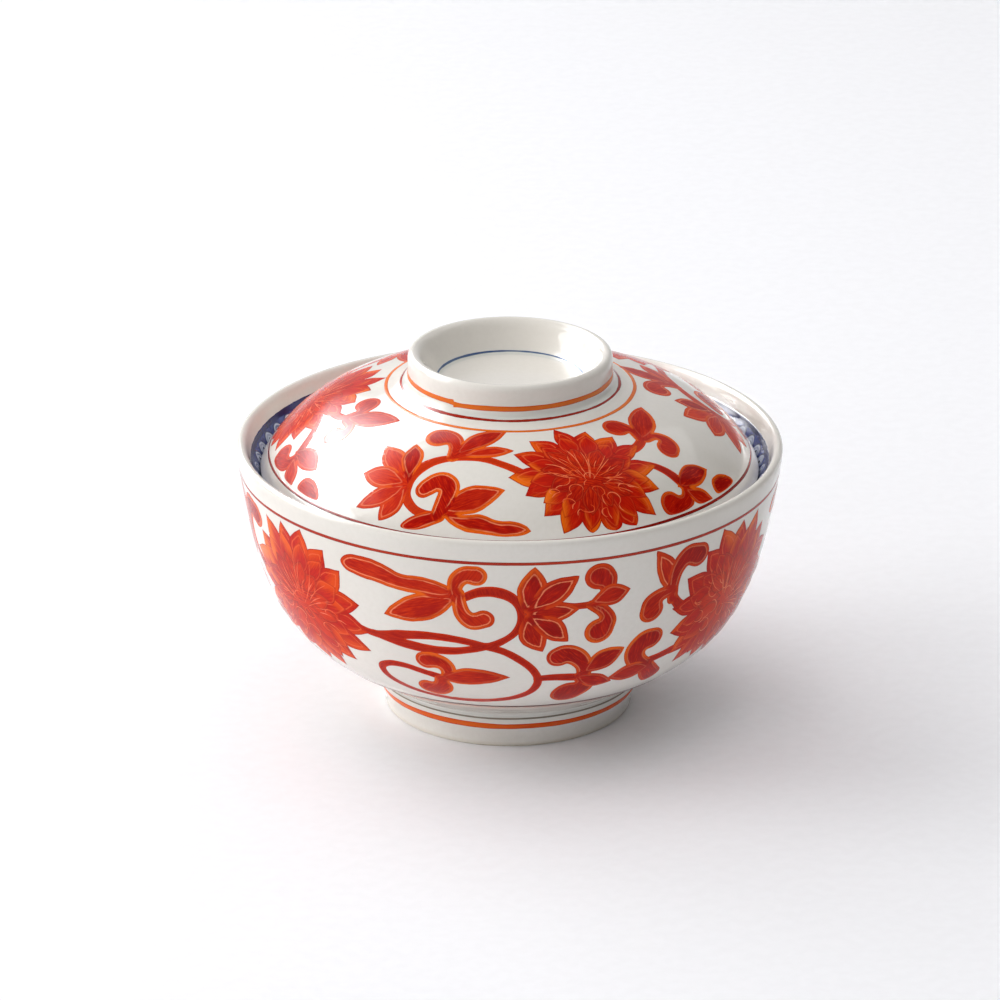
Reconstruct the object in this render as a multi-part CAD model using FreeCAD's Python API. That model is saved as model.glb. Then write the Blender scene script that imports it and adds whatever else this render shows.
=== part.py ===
# Rice bowl with a drop-in lid, glazed porcelain.
# Units mm, +Z up.  Origin: centre of the foot ring's resting face, on the axis
# of symmetry.  Every piece is a solid of revolution about Z.
#
# Nodes
#   bowl_foot_ring   the turned foot ring the bowl stands on
#   bowl_body        the bowl's wall and floor, luted on top of the foot ring
#   lid_shell        the domed lid, rests on the bevel inside the bowl's mouth
#   lid_ring_knob    the ring grip luted on top of the lid
import FreeCAD, Part
import os

os.makedirs("parts", exist_ok=True)
V = FreeCAD.Vector

# ---- driving dimensions (mm) ------------------------------------------------
RIM_R = 62.5            # largest radius of the bowl, just under the lip's crest
RIM_Z = 64.5            # crest of the lip
FOOT_JOIN_Z = 8.2       # height where foot ring and bowl body meet
FOOT_JOIN_R = 30.5      # outer radius there
FOOT_IN_TOP_R = 24.4    # inner radius of the foot ring at the join
FOOT_IN_R = 25.4        # inner radius of the bare resting face
FOOT_OUT_R = 28.0       # outer radius of the bare resting face
FLOOR_Z = 12.4          # inside floor of the bowl at the axis
BEVEL_TOP_R = 59.4      # inner edge of the lip
BEVEL_TOP_Z = 61.2
SEAT_R = 57.15          # foot of the bevel the lid rests on
SEAT_Z = 57.3
LID_R = 57.15           # largest radius of the lid
LID_EDGE_Z = 58.3       # height of that largest radius with the lid on
LID_UNDER_Z = 75.0      # underside of the lid at the axis
KNOB_JOIN_Z = 79.2      # flat top of the lid that carries the ring knob
KNOB_JOIN_R = 24.1      # outer radius of the knob at its root
KNOB_FLOOR_R = 16.2     # radius of the recess floor inside the knob
KNOB_TOP_Z = 86.0       # crest of the ring knob


def pt(p):
    return V(p[0], 0.0, p[1])


def line(a, b):
    return Part.LineSegment(pt(a), pt(b)).toShape()


def arc(a, m, b):
    return Part.Arc(pt(a), pt(m), pt(b)).toShape()


def spline(points):
    c = Part.BSplineCurve()
    c.interpolate([pt(p) for p in points])
    return c.toShape()


def turned(edges):
    face = Part.Face(Part.Wire(Part.__sortEdges__(edges)))
    solid = face.revolve(V(0, 0, 0), V(0, 0, 1), 360)
    if solid.ShapeType != "Solid":
        solid = Part.Solid(solid.Shells[0])
    if solid.Volume < 0:
        solid = solid.reversed()
    return solid


# ---- foot ring --------------------------------------------------------------
# bare flat resting face, eased edges, outer side leaning out to the join
FOOT_OUTSIDE = [(28.55, 0.75), (28.7, 2.2), (29.35, 4.2), (30.05, 6.2),
                (FOOT_JOIN_R, FOOT_JOIN_Z)]
foot = turned([
    line((FOOT_IN_R, 0.0), (FOOT_OUT_R, 0.0)),
    arc((FOOT_OUT_R, 0.0), (28.40, 0.20), FOOT_OUTSIDE[0]),
    spline(FOOT_OUTSIDE),
    line((FOOT_JOIN_R, FOOT_JOIN_Z), (FOOT_IN_TOP_R, FOOT_JOIN_Z)),
    line((FOOT_IN_TOP_R, FOOT_JOIN_Z), (25.0, 0.6)),
    arc((25.0, 0.6), (25.12, 0.17), (FOOT_IN_R, 0.0)),
])

# ---- bowl body --------------------------------------------------------------
# one smooth section: outer wall, rounded lip, bevel, seat, inner wall
BODY_SECTION = [
    (31.4, 9.4), (33.9, 11.0), (40.6, 15.0), (47.4, 20.0), (52.5, 26.0),
    (56.0, 33.0), (58.6, 41.0), (60.3, 49.0), (61.5, 56.0), (62.2, 60.6),
    (62.46, 62.5), (RIM_R, 63.3), (62.25, 64.08), (61.5, RIM_Z), (60.7, 64.15),
    (60.2, 63.4), (59.8, 62.4), (BEVEL_TOP_R, BEVEL_TOP_Z), (58.35, 59.3),
    (SEAT_R, SEAT_Z), (56.75, 55.0), (56.0, 49.5), (54.7, 41.5), (52.1, 33.8),
    (48.4, 27.0), (43.2, 21.2), (36.0, 16.6), (26.5, 13.8), (14.0, 12.65),
    (0.0, FLOOR_Z)]
body = turned([
    line((0.0, FOOT_JOIN_Z), (FOOT_JOIN_R, FOOT_JOIN_Z)),
    line((FOOT_JOIN_R, FOOT_JOIN_Z), BODY_SECTION[0]),
    spline(BODY_SECTION),
    line((0.0, FLOOR_Z), (0.0, FOOT_JOIN_Z)),
])

# ---- lid --------------------------------------------------------------------
# one smooth section: outer face from the knob's root, rounded edge, underside
LID_SECTION = [
    (KNOB_JOIN_R, KNOB_JOIN_Z), (24.9, 78.55), (26.4, 77.95), (28.3, 77.42),
    (34.0, 76.02), (40.0, 73.95), (46.0, 70.70), (51.0, 66.60), (53.4, 64.0),
    (55.4, 61.45), (56.65, 59.6), (57.05, 58.75), (LID_R, LID_EDGE_Z),
    (56.95, 57.75), (56.4, 57.36), (55.65, 57.45), (55.0, 57.85), (54.2, 58.7),
    (52.4, 60.95), (48.6, 65.0), (44.0, 68.6), (38.3, 71.3), (32.5, 72.9),
    (27.2, 73.95), (16.0, 74.75), (0.0, LID_UNDER_Z)]
lid = turned([
    line((0.0, LID_UNDER_Z), (0.0, KNOB_JOIN_Z)),
    line((0.0, KNOB_JOIN_Z), (KNOB_JOIN_R, KNOB_JOIN_Z)),
    spline(LID_SECTION),
])

# ---- ring knob --------------------------------------------------------------
# one smooth section: outer side, rounded lip, sloping inner side
KNOB_SECTION = [
    (KNOB_JOIN_R, KNOB_JOIN_Z), (23.65, 79.9), (23.42, 81.0), (23.38, 82.6),
    (23.42, 84.0), (23.15, 85.3), (22.3, KNOB_TOP_Z), (21.2, 85.75),
    (20.3, 84.85), (19.35, 83.3), (18.3, 81.7), (17.25, 80.2),
    (KNOB_FLOOR_R, KNOB_JOIN_Z)]
knob = turned([
    line((KNOB_FLOOR_R, KNOB_JOIN_Z), (KNOB_JOIN_R, KNOB_JOIN_Z)),
    spline(KNOB_SECTION),
])

for name, solid in (("bowl_foot_ring", foot), ("bowl_body", body),
                    ("lid_shell", lid), ("lid_ring_knob", knob)):
    assert solid.isValid() and solid.Volume > 0, name
    solid.exportStep("parts/%s.step" % name)
    bb = solid.optimalBoundingBox(True, False)
    print(name, "volume %.1f mm3" % solid.Volume,
          "x %.2f..%.2f z %.2f..%.2f" % (bb.XMin, bb.XMax, bb.ZMin, bb.ZMax),
          "faces", len(solid.Faces))

print("gap lid shell - bowl body %.3f mm" % lid.distToShape(body)[0])
print("common volumes", [round(a.common(b).Volume, 4) for a, b in
      ((foot, body), (lid, body), (lid, knob))])
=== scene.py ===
import math
import random

import bpy
import numpy as np
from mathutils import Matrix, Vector, geometry, kdtree


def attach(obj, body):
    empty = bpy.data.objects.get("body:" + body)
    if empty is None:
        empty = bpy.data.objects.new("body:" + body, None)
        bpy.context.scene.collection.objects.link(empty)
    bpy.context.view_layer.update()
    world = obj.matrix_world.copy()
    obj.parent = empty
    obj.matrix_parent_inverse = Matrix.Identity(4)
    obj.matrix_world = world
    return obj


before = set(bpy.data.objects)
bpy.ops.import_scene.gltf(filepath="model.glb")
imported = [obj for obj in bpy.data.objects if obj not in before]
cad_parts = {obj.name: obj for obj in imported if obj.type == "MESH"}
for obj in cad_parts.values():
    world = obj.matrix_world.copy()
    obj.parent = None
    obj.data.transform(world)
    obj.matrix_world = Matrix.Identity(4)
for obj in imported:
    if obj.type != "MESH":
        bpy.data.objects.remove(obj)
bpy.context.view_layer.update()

RNG = np.random.default_rng(7)
random.seed(7)
MM = 0.001


# =============================================================================
# small numeric helpers
# =============================================================================
def spline(points, n=400):
    """Natural cubic spline through points, chord-length parameter."""
    p = np.array(points, float)
    t = np.r_[0, np.cumsum(np.hypot(*np.diff(p, axis=0).T))]
    m = len(p)
    h = np.diff(t)
    A = np.zeros((m, m))
    B = np.zeros((m, p.shape[1]))
    A[0, 0] = A[-1, -1] = 1
    for i in range(1, m - 1):
        A[i, i - 1], A[i, i], A[i, i + 1] = h[i - 1], 2 * (h[i - 1] + h[i]), h[i]
        B[i] = 6 * ((p[i + 1] - p[i]) / h[i] - (p[i] - p[i - 1]) / h[i - 1])
    M = np.linalg.solve(A, B)
    tt = np.linspace(0, t[-1], n)
    k = np.clip(np.searchsorted(t, tt, side="right") - 1, 0, m - 2)
    d = (tt - t[k])[:, None]
    hk = h[k][:, None]
    a = (M[k + 1] - M[k]) / (6 * hk)
    b = M[k] / 2
    c = (p[k + 1] - p[k]) / hk - hk * (2 * M[k] + M[k + 1]) / 6
    return p[k] + d * (c + d * (b + d * a))


def resample(q, step):
    s = np.r_[0, np.cumsum(np.hypot(*np.diff(q, axis=0).T))]
    n = max(2, int(round(s[-1] / step)) + 1)
    ss = np.linspace(0, s[-1], n)
    return np.stack([np.interp(ss, s, q[:, 0]), np.interp(ss, s, q[:, 1])], 1)


def wave(x, seed, octaves=3):
    """Smooth periodic-free 1-D noise, -1..1."""
    r = np.random.default_rng(seed)
    y = np.zeros_like(x, float)
    amp = 0.0
    for k in range(octaves):
        f, ph, a = 0.6 * 1.9 ** k * r.uniform(0.8, 1.2), r.uniform(0, 6.28), 0.6 ** k
        y += a * np.sin(f * x + ph)
        amp += a
    return y / amp


def smooth(x, a, b):
    t = np.clip((x - a) / (b - a), 0, 1)
    return t * t * (3 - 2 * t)


def node_rz(name):
    """Every (radius, height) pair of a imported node's mesh, in mm."""
    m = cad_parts[name].data
    co = np.empty(len(m.vertices) * 3)
    m.vertices.foreach_get("co", co)
    co = co.reshape(-1, 3) / MM
    rz = np.stack([np.hypot(co[:, 0], co[:, 1]), co[:, 2]], 1)
    return np.unique(np.round(rz, 3), axis=0)


class Profile:
    """A turned surface's profile: arc length s (mm) -> radius, height, normal.
    The guide points say which wall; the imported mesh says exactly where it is."""

    def __init__(self, guide, nodes):
        q = spline(guide, 900)
        s = np.r_[0, np.cumsum(np.hypot(*np.diff(q, axis=0).T))]
        t = np.gradient(q, s, axis=0)
        t /= np.linalg.norm(t, axis=1)[:, None]
        n = np.stack([-t[:, 1], t[:, 0]], 1)
        if n[len(n) // 2, 0] * q[len(q) // 2, 0] < 0 and n[len(n) // 2, 1] <= 0:
            n = -n
        pts = np.concatenate([node_rz(x) for x in nodes])
        kd = kdtree.KDTree(len(q))
        for i, p in enumerate(q):
            kd.insert((p[0], p[1], 0), i)
        kd.balance()
        off_s, off = [], []
        for p in pts:
            co, i, d = kd.find((p[0], p[1], 0))
            if d < 0.35 and 0 < i < len(q) - 1:
                off_s.append(s[i])
                off.append(float(np.dot(p - q[i], n[i])))
        if off_s:
            off_s, off = np.array(off_s), np.array(off)
            g = np.linspace(0, s[-1], 90)
            w = s[-1] / 90 * 0.8
            val = []
            for x in g:
                k = np.exp(-((off_s - x) / w) ** 2)
                val.append((k * off).sum() / k.sum() if k.sum() > 1e-3 else np.nan)
            val = np.array(val)
            ok = ~np.isnan(val)
            val = np.interp(g, g[ok], val[ok])
            q = q + n * np.interp(s, g, val)[:, None]
            s = np.r_[0, np.cumsum(np.hypot(*np.diff(q, axis=0).T))]
            t = np.gradient(q, s, axis=0)
            t /= np.linalg.norm(t, axis=1)[:, None]
            sign = 1 if np.dot(n[450], [-t[450, 1], t[450, 0]]) > 0 else -1
            n = sign * np.stack([-t[:, 1], t[:, 0]], 1)
        self.s, self.q, self.n, self.t = s, q, n, t
        self.length = s[-1]

    def at(self, s):
        r = np.interp(s, self.s, self.q[:, 0])
        z = np.interp(s, self.s, self.q[:, 1])
        nr = np.interp(s, self.s, self.n[:, 0])
        nz = np.interp(s, self.s, self.n[:, 1])
        k = np.hypot(nr, nz)
        return r, z, nr / k, nz / k

    def s_at_z(self, z):
        i = np.argsort(self.q[:, 1])
        return float(np.interp(z, self.q[i, 1], self.s[i]))

    def s_at_r(self, r):
        i = np.argsort(self.q[:, 0])
        return float(np.interp(r, self.q[i, 0], self.s[i]))

    def place(self, az, s, h):
        """Azimuth (0 = front, towards -Y), arc length, height above the surface."""
        r, z, nr, nz = self.at(s)
        sa, ca = np.sin(az), np.cos(az)
        P = np.stack([(r + nr * h) * sa, -(r + nr * h) * ca, z + nz * h], -1)
        N = np.stack([nr * sa, -nr * ca, nz], -1)
        return P * MM, N


# =============================================================================
# drawing in the flat: outlines of brush shapes, in mm
# =============================================================================
def catmull(points, closed=False, n=10):
    P = np.array(points, float)
    if closed:
        P = np.concatenate([P[-1:], P, P[:2]])
    else:
        P = np.concatenate([2 * P[:1] - P[1:2], P, 2 * P[-1:] - P[-2:-1]])
    out = []
    for i in range(1, len(P) - 2):
        p0, p1, p2, p3 = P[i - 1], P[i], P[i + 1], P[i + 2]
        d1 = max(np.linalg.norm(p1 - p0) ** 0.5, 1e-4)
        d2 = max(np.linalg.norm(p2 - p1) ** 0.5, 1e-4)
        d3 = max(np.linalg.norm(p3 - p2) ** 0.5, 1e-4)
        m1 = (p1 - p0) / d1 - (p2 - p0) / (d1 + d2) + (p2 - p1) / d2
        m2 = (p2 - p1) / d2 - (p3 - p1) / (d2 + d3) + (p3 - p2) / d3
        m1, m2 = m1 * d2, m2 * d2
        t = np.linspace(0, 1, n, endpoint=False)[:, None]
        out.append((2 * t ** 3 - 3 * t ** 2 + 1) * p1 + (t ** 3 - 2 * t ** 2 + t) * m1
                   + (-2 * t ** 3 + 3 * t ** 2) * p2 + (t ** 3 - t ** 2) * m2)
    if not closed:
        out.append(P[-2:-1])
    return np.concatenate(out)


STEP = 0.42


def close_loop(q):
    """Evenly resampled closed outline, first point not repeated."""
    q = np.concatenate([q, q[:1]])
    return resample(q, STEP)[:-1]


def shape(poly, base, tip, rim=0.9, tone=0.5, kind=1.0, line=1.0, lift=0.0, seed=0, wobble=0.10):
    poly = np.array(poly, float)
    if wobble:
        d = np.roll(poly, -1, 0) - np.roll(poly, 1, 0)
        nrm = np.stack([-d[:, 1], d[:, 0]], 1)
        nrm /= np.maximum(np.linalg.norm(nrm, axis=1), 1e-6)[:, None]
        s = np.arange(len(poly)) * STEP
        k = smooth(np.minimum(s, s[-1] - s), 0, 1.5)
        poly = poly + nrm * (wave(s * 1.1, seed + 11) * wobble * k)[:, None]
    return dict(poly=poly, base=np.array(base, float), tip=np.array(tip, float),
                rim=rim, tone=tone, kind=kind, line=line, lift=lift, rnd=(seed * 0.6180339) % 1.0)


def leaf(base, tip, w, bend=0.0, belly=0.45, power=0.9, wr=None, **kw):
    """A pointed leaf or petal: w is the left half-width, wr the right one."""
    b, t = np.array(base, float), np.array(tip, float)
    L = np.linalg.norm(t - b)
    d = (t - b) / L
    nrm = np.array([-d[1], d[0]])
    s = np.linspace(0, 1, max(10, int(L / STEP) + 2))
    k = math.log(0.5) / math.log(belly)
    f = np.sin(math.pi * np.clip(s, 0, 1) ** k) ** power
    c = b + np.outer(s, t - b) + np.outer(np.sin(math.pi * s) * bend, nrm)
    wr = w if wr is None else wr
    fat = kw.pop("fat", 0.12 if kw.get("kind", 1.0) < 1.5 else 0.0)
    w, wr = w + fat, wr + fat
    left = c + np.outer(f * w, nrm)
    right = c - np.outer(f * wr, nrm)
    poly = np.concatenate([left, right[-2:0:-1]])
    return shape(poly_even(poly, len(s) - 1), base, tip, **kw)


def poly_even(poly, corner):
    """Resample, keeping the first point and the point at index corner sharp."""
    a = resample(poly[:corner + 1], STEP)
    b = resample(np.concatenate([poly[corner:], poly[:1]]), STEP)
    return np.concatenate([a[:-1], b[:-1]])


def outline(points, base, tip, **kw):
    """Closed outline through points; a third value of 1 marks a sharp corner."""
    pts = [(p[0], p[1]) for p in points]
    corners = [i for i, p in enumerate(points) if len(p) > 2]
    if not corners:
        return shape(close_loop(catmull(pts, True)), base, tip, **kw)
    pts = pts[corners[0]:] + pts[:corners[0]]
    corners = [c - corners[0] for c in corners] + [len(pts)]
    pts = pts + pts[:1]
    out = []
    for a, b in zip(corners[:-1], corners[1:]):
        out.append(resample(catmull(pts[a:b + 1]), STEP)[:-1])
    return shape(np.concatenate(out), base, tip, **kw)


def contour(samples, pad=0.8, cell=0.22):
    """Outline of a union of discs (x, y, radius) by marching squares."""
    S = np.array(samples, float)
    lo = (S[:, :2] - S[:, 2:]).min(0) - pad
    hi = (S[:, :2] + S[:, 2:]).max(0) + pad
    nx, ny = (np.ceil((hi - lo) / cell).astype(int) + 1)
    X = lo[0] + np.arange(nx) * cell
    Y = lo[1] + np.arange(ny) * cell
    F = np.full((nx, ny), 1e9)
    for x, y, r in S:
        i0, i1 = int((x - r - 1.2 - lo[0]) / cell), int((x + r + 1.2 - lo[0]) / cell) + 2
        j0, j1 = int((y - r - 1.2 - lo[1]) / cell), int((y + r + 1.2 - lo[1]) / cell) + 2
        i0, j0 = max(i0, 0), max(j0, 0)
        sub = np.hypot(X[i0:i1, None] - x, Y[None, j0:j1] - y) - r
        F[i0:i1, j0:j1] = np.minimum(F[i0:i1, j0:j1], sub)
    F[F > 1e8] = 1.0
    F[np.abs(F) < 1e-6] = 1e-6
    inside = F < 0
    c = inside[:-1, :-1] * 1 + inside[1:, :-1] * 2 + inside[1:, 1:] * 4 + inside[:-1, 1:] * 8
    seg = {1: [(3, 0)], 2: [(0, 1)], 3: [(3, 1)], 4: [(1, 2)], 5: [(3, 0), (1, 2)], 6: [(0, 2)],
           7: [(3, 2)], 8: [(2, 3)], 9: [(2, 0)], 10: [(0, 1), (2, 3)], 11: [(2, 1)],
           12: [(1, 3)], 13: [(1, 0)], 14: [(0, 3)]}
    nxt = {}

    def key(i, j, e):
        return ((i, j, 0), (i + 1, j, 1), (i, j + 1, 0), (i, j, 1))[e]

    for i, j in zip(*np.nonzero((c > 0) & (c < 15))):
        for a, b in seg[int(c[i, j])]:
            nxt[key(i, j, a)] = key(i, j, b)

    def pos(k):
        i, j, v = k
        if v:
            t = F[i, j] / (F[i, j] - F[i, j + 1])
            return (X[i], Y[j] + t * cell)
        t = F[i, j] / (F[i, j] - F[i + 1, j])
        return (X[i] + t * cell, Y[j])

    loops = []
    while nxt:
        k0 = k = next(iter(nxt))
        loop = []
        while k in nxt:
            loop.append(pos(k))
            k = nxt.pop(k)
            if k == k0:
                break
        loops.append(np.array(loop))
    loops.sort(key=lambda q: -len(q))
    q = loops[0]
    for _ in range(3):
        q = 0.25 * np.roll(q, 1, 0) + 0.5 * q + 0.25 * np.roll(q, -1, 0)
    return close_loop(q)


def brush(points, seed=0, **kw):
    """A brush stroke: (x, y, half-width) control points, round ends."""
    q = catmull(points, n=14)
    s = np.r_[0, np.cumsum(np.hypot(*np.diff(q[:, :2], axis=0).T))]
    n = max(6, int(s[-1] / 0.25))
    ss = np.linspace(0, s[-1], n)
    S = np.stack([np.interp(ss, s, q[:, k]) for k in range(3)], 1)
    S[:, 2] = S[:, 2] * (1 + 0.07 * wave(ss * 0.55, seed + 3)) + kw.pop("fat", 0.08)
    kw.setdefault("wobble", 0.04)
    a = kw.pop("base", points[0][:2])
    b = kw.pop("tip", points[-1][:2])
    return shape(contour(S), a, b, seed=seed, **kw)


def petals(cx, cy, a, b, n, r0, r1, w, phase, rng, spread=0.06, power=1.08, belly=0.52, skip=(), **kw):
    """One tier of pointed petals round (cx, cy)."""
    out = []
    order = list(range(n))
    for k in order[::2] + order[1::2]:
        ang = 2 * math.pi * (k + phase + rng.uniform(-0.14, 0.14)) / n
        R = r1 * (1 + rng.uniform(-spread, spread))
        ca, sa = math.cos(ang), math.sin(ang)
        tip = (cx + a * R * ca, cy + b * R * sa)
        base = (cx + a * r0 * ca, cy + b * r0 * sa)
        ww = w * 0.5 * (a + b) * (1 + rng.uniform(-0.12, 0.12))
        out.append(leaf(base, tip, ww, bend=rng.uniform(-0.5, 0.5) * ww * 0.45,
                        belly=belly, power=power, tone=rng.uniform(0, 1),
                        seed=int(rng.integers(1, 9999)), **kw))
    return out


def stroke(points, w=0.16, seed=0, tone=0.5, lift=0.0, kind=4.0):
    """A hair line scratched or drawn with the tip of the brush."""
    q = resample(catmull(points, n=10), 0.34)
    d = np.gradient(q, axis=0)
    nrm = np.stack([-d[:, 1], d[:, 0]], 1)
    nrm /= np.maximum(np.linalg.norm(nrm, axis=1), 1e-6)[:, None]
    x = np.linspace(0, 1, len(q))
    ww = w * np.sin(math.pi * np.clip(x, 0.03, 0.97)) ** 0.4 * (1 + 0.25 * wave(x * 9, seed))
    ww[0] = ww[-1] = 0.03
    poly = np.concatenate([q + nrm * ww[:, None], (q - nrm * ww[:, None])[::-1]])
    return shape(poly, points[0], points[-1], rim=0.1, tone=tone, kind=kind, line=0.0, lift=lift, seed=seed, wobble=0)


def curl(cx, cy, r, start, turn, squash=0.8, n=9):
    """Points of a small open curl, from the outside in."""
    out = []
    for k in range(n):
        t = k / (n - 1)
        a = start + turn * t
        rr = r * (1 - 0.55 * t)
        out.append((cx + rr * math.cos(a), cy + squash * rr * math.sin(a)))
    return out


def flower(cx, cy, a, b, seed, n=16, phase=0.0, down=-1.0):
    """A many-petalled blossom; down is the side its front curls face (y)."""
    rng = np.random.default_rng(seed)
    s = []
    up = dict(lift=0.012, wobble=0.08)
    s += petals(cx, cy, a, b, n, 0.36, 0.98, 0.158, phase, rng, 0.06, rim=1.25, kind=2.0, line=0.75, **up)
    th = np.linspace(0, 2 * math.pi, 61)[:-1]
    disc = np.stack([cx + 0.62 * a * np.cos(th), cy + 0.62 * b * np.sin(th)], 1)
    s.append(shape(close_loop(disc), (cx, cy), (cx + a, cy), rim=0.01, tone=0.6, kind=3.0, line=0.0,
                   seed=seed, **up))
    s += petals(cx, cy, a, b, n - 2, 0.30, 0.79, 0.135, phase + 0.45, rng, 0.08, rim=0.42, kind=2.2, line=0.38, **up)
    s += petals(cx, cy, a, b, n - 5, 0.15, 0.60, 0.125, phase + 0.2, rng, 0.12, rim=0.3, kind=3.0, line=0.22, **up)
    # long fan lines over the back half, from a point low in the blossom
    fx, fy = cx + 0.03 * a, cy + down * 0.12 * b
    m = 23
    for k in range(m):
        ang = math.pi * (k + 0.5 + rng.uniform(-0.3, 0.3)) / m
        ca, sa = math.cos(ang), -down * math.sin(ang)
        r0 = rng.uniform(0.06, 0.28)
        r1 = rng.uniform(0.42, 0.70)
        bend = rng.uniform(-0.05, 0.05)
        P = [(fx + a * r * ca - b * sa * bend * math.sin(math.pi * t), fy + b * r * sa + a * ca * bend * math.sin(math.pi * t))
             for t, r in ((0, r0), (0.35, r0 + 0.35 * (r1 - r0)), (0.7, r0 + 0.7 * (r1 - r0)), (1, r1))]
        s.append(stroke(P, rng.uniform(0.08, 0.13), seed=int(rng.integers(1, 999)), tone=rng.uniform(0.2, 0.9), lift=0.012))
    # curls across the front half
    spots = [(-0.34, 0.16, 0.13), (-0.12, 0.26, 0.12), (0.12, 0.22, 0.13), (0.36, 0.30, 0.12), (-0.46, 0.40, 0.10),
             (-0.22, 0.48, 0.11), (0.05, 0.50, 0.12), (0.30, 0.52, 0.10), (0.50, 0.10, 0.10), (0.0, 0.02, 0.11),
             (-0.18, 0.02, 0.08)]
    for k, (x, y, r) in enumerate(spots):
        x += rng.uniform(-0.04, 0.04)
        y += rng.uniform(-0.04, 0.04)
        st = rng.uniform(0, 6.28)
        tn = rng.choice([-1, 1]) * rng.uniform(3.2, 4.6)
        P = curl(cx + x * a, cy + down * y * b, r * 0.5 * (a + b) * rng.uniform(0.9, 1.25), st, tn, rng.uniform(0.6, 0.9))
        s.append(stroke(P, rng.uniform(0.09, 0.14), seed=int(rng.integers(1, 999)), tone=rng.uniform(0.3, 1.0), lift=0.012))
        # a short tail runs outward from the curl
        q = P[0]
        d = np.array([q[0] - cx, q[1] - cy]) / max(1e-3, math.hypot(q[0] - cx, q[1] - cy))
        L0 = rng.uniform(1.4, 3.2)
        s.append(stroke([q, (q[0] + d[0] * L0 * 0.5 + d[1] * 0.3, q[1] + d[1] * L0 * 0.5 - d[0] * 0.3),
                         (q[0] + d[0] * L0, q[1] + d[1] * L0)], 0.12, seed=k, tone=0.4, lift=0.012))
    return s


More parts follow.
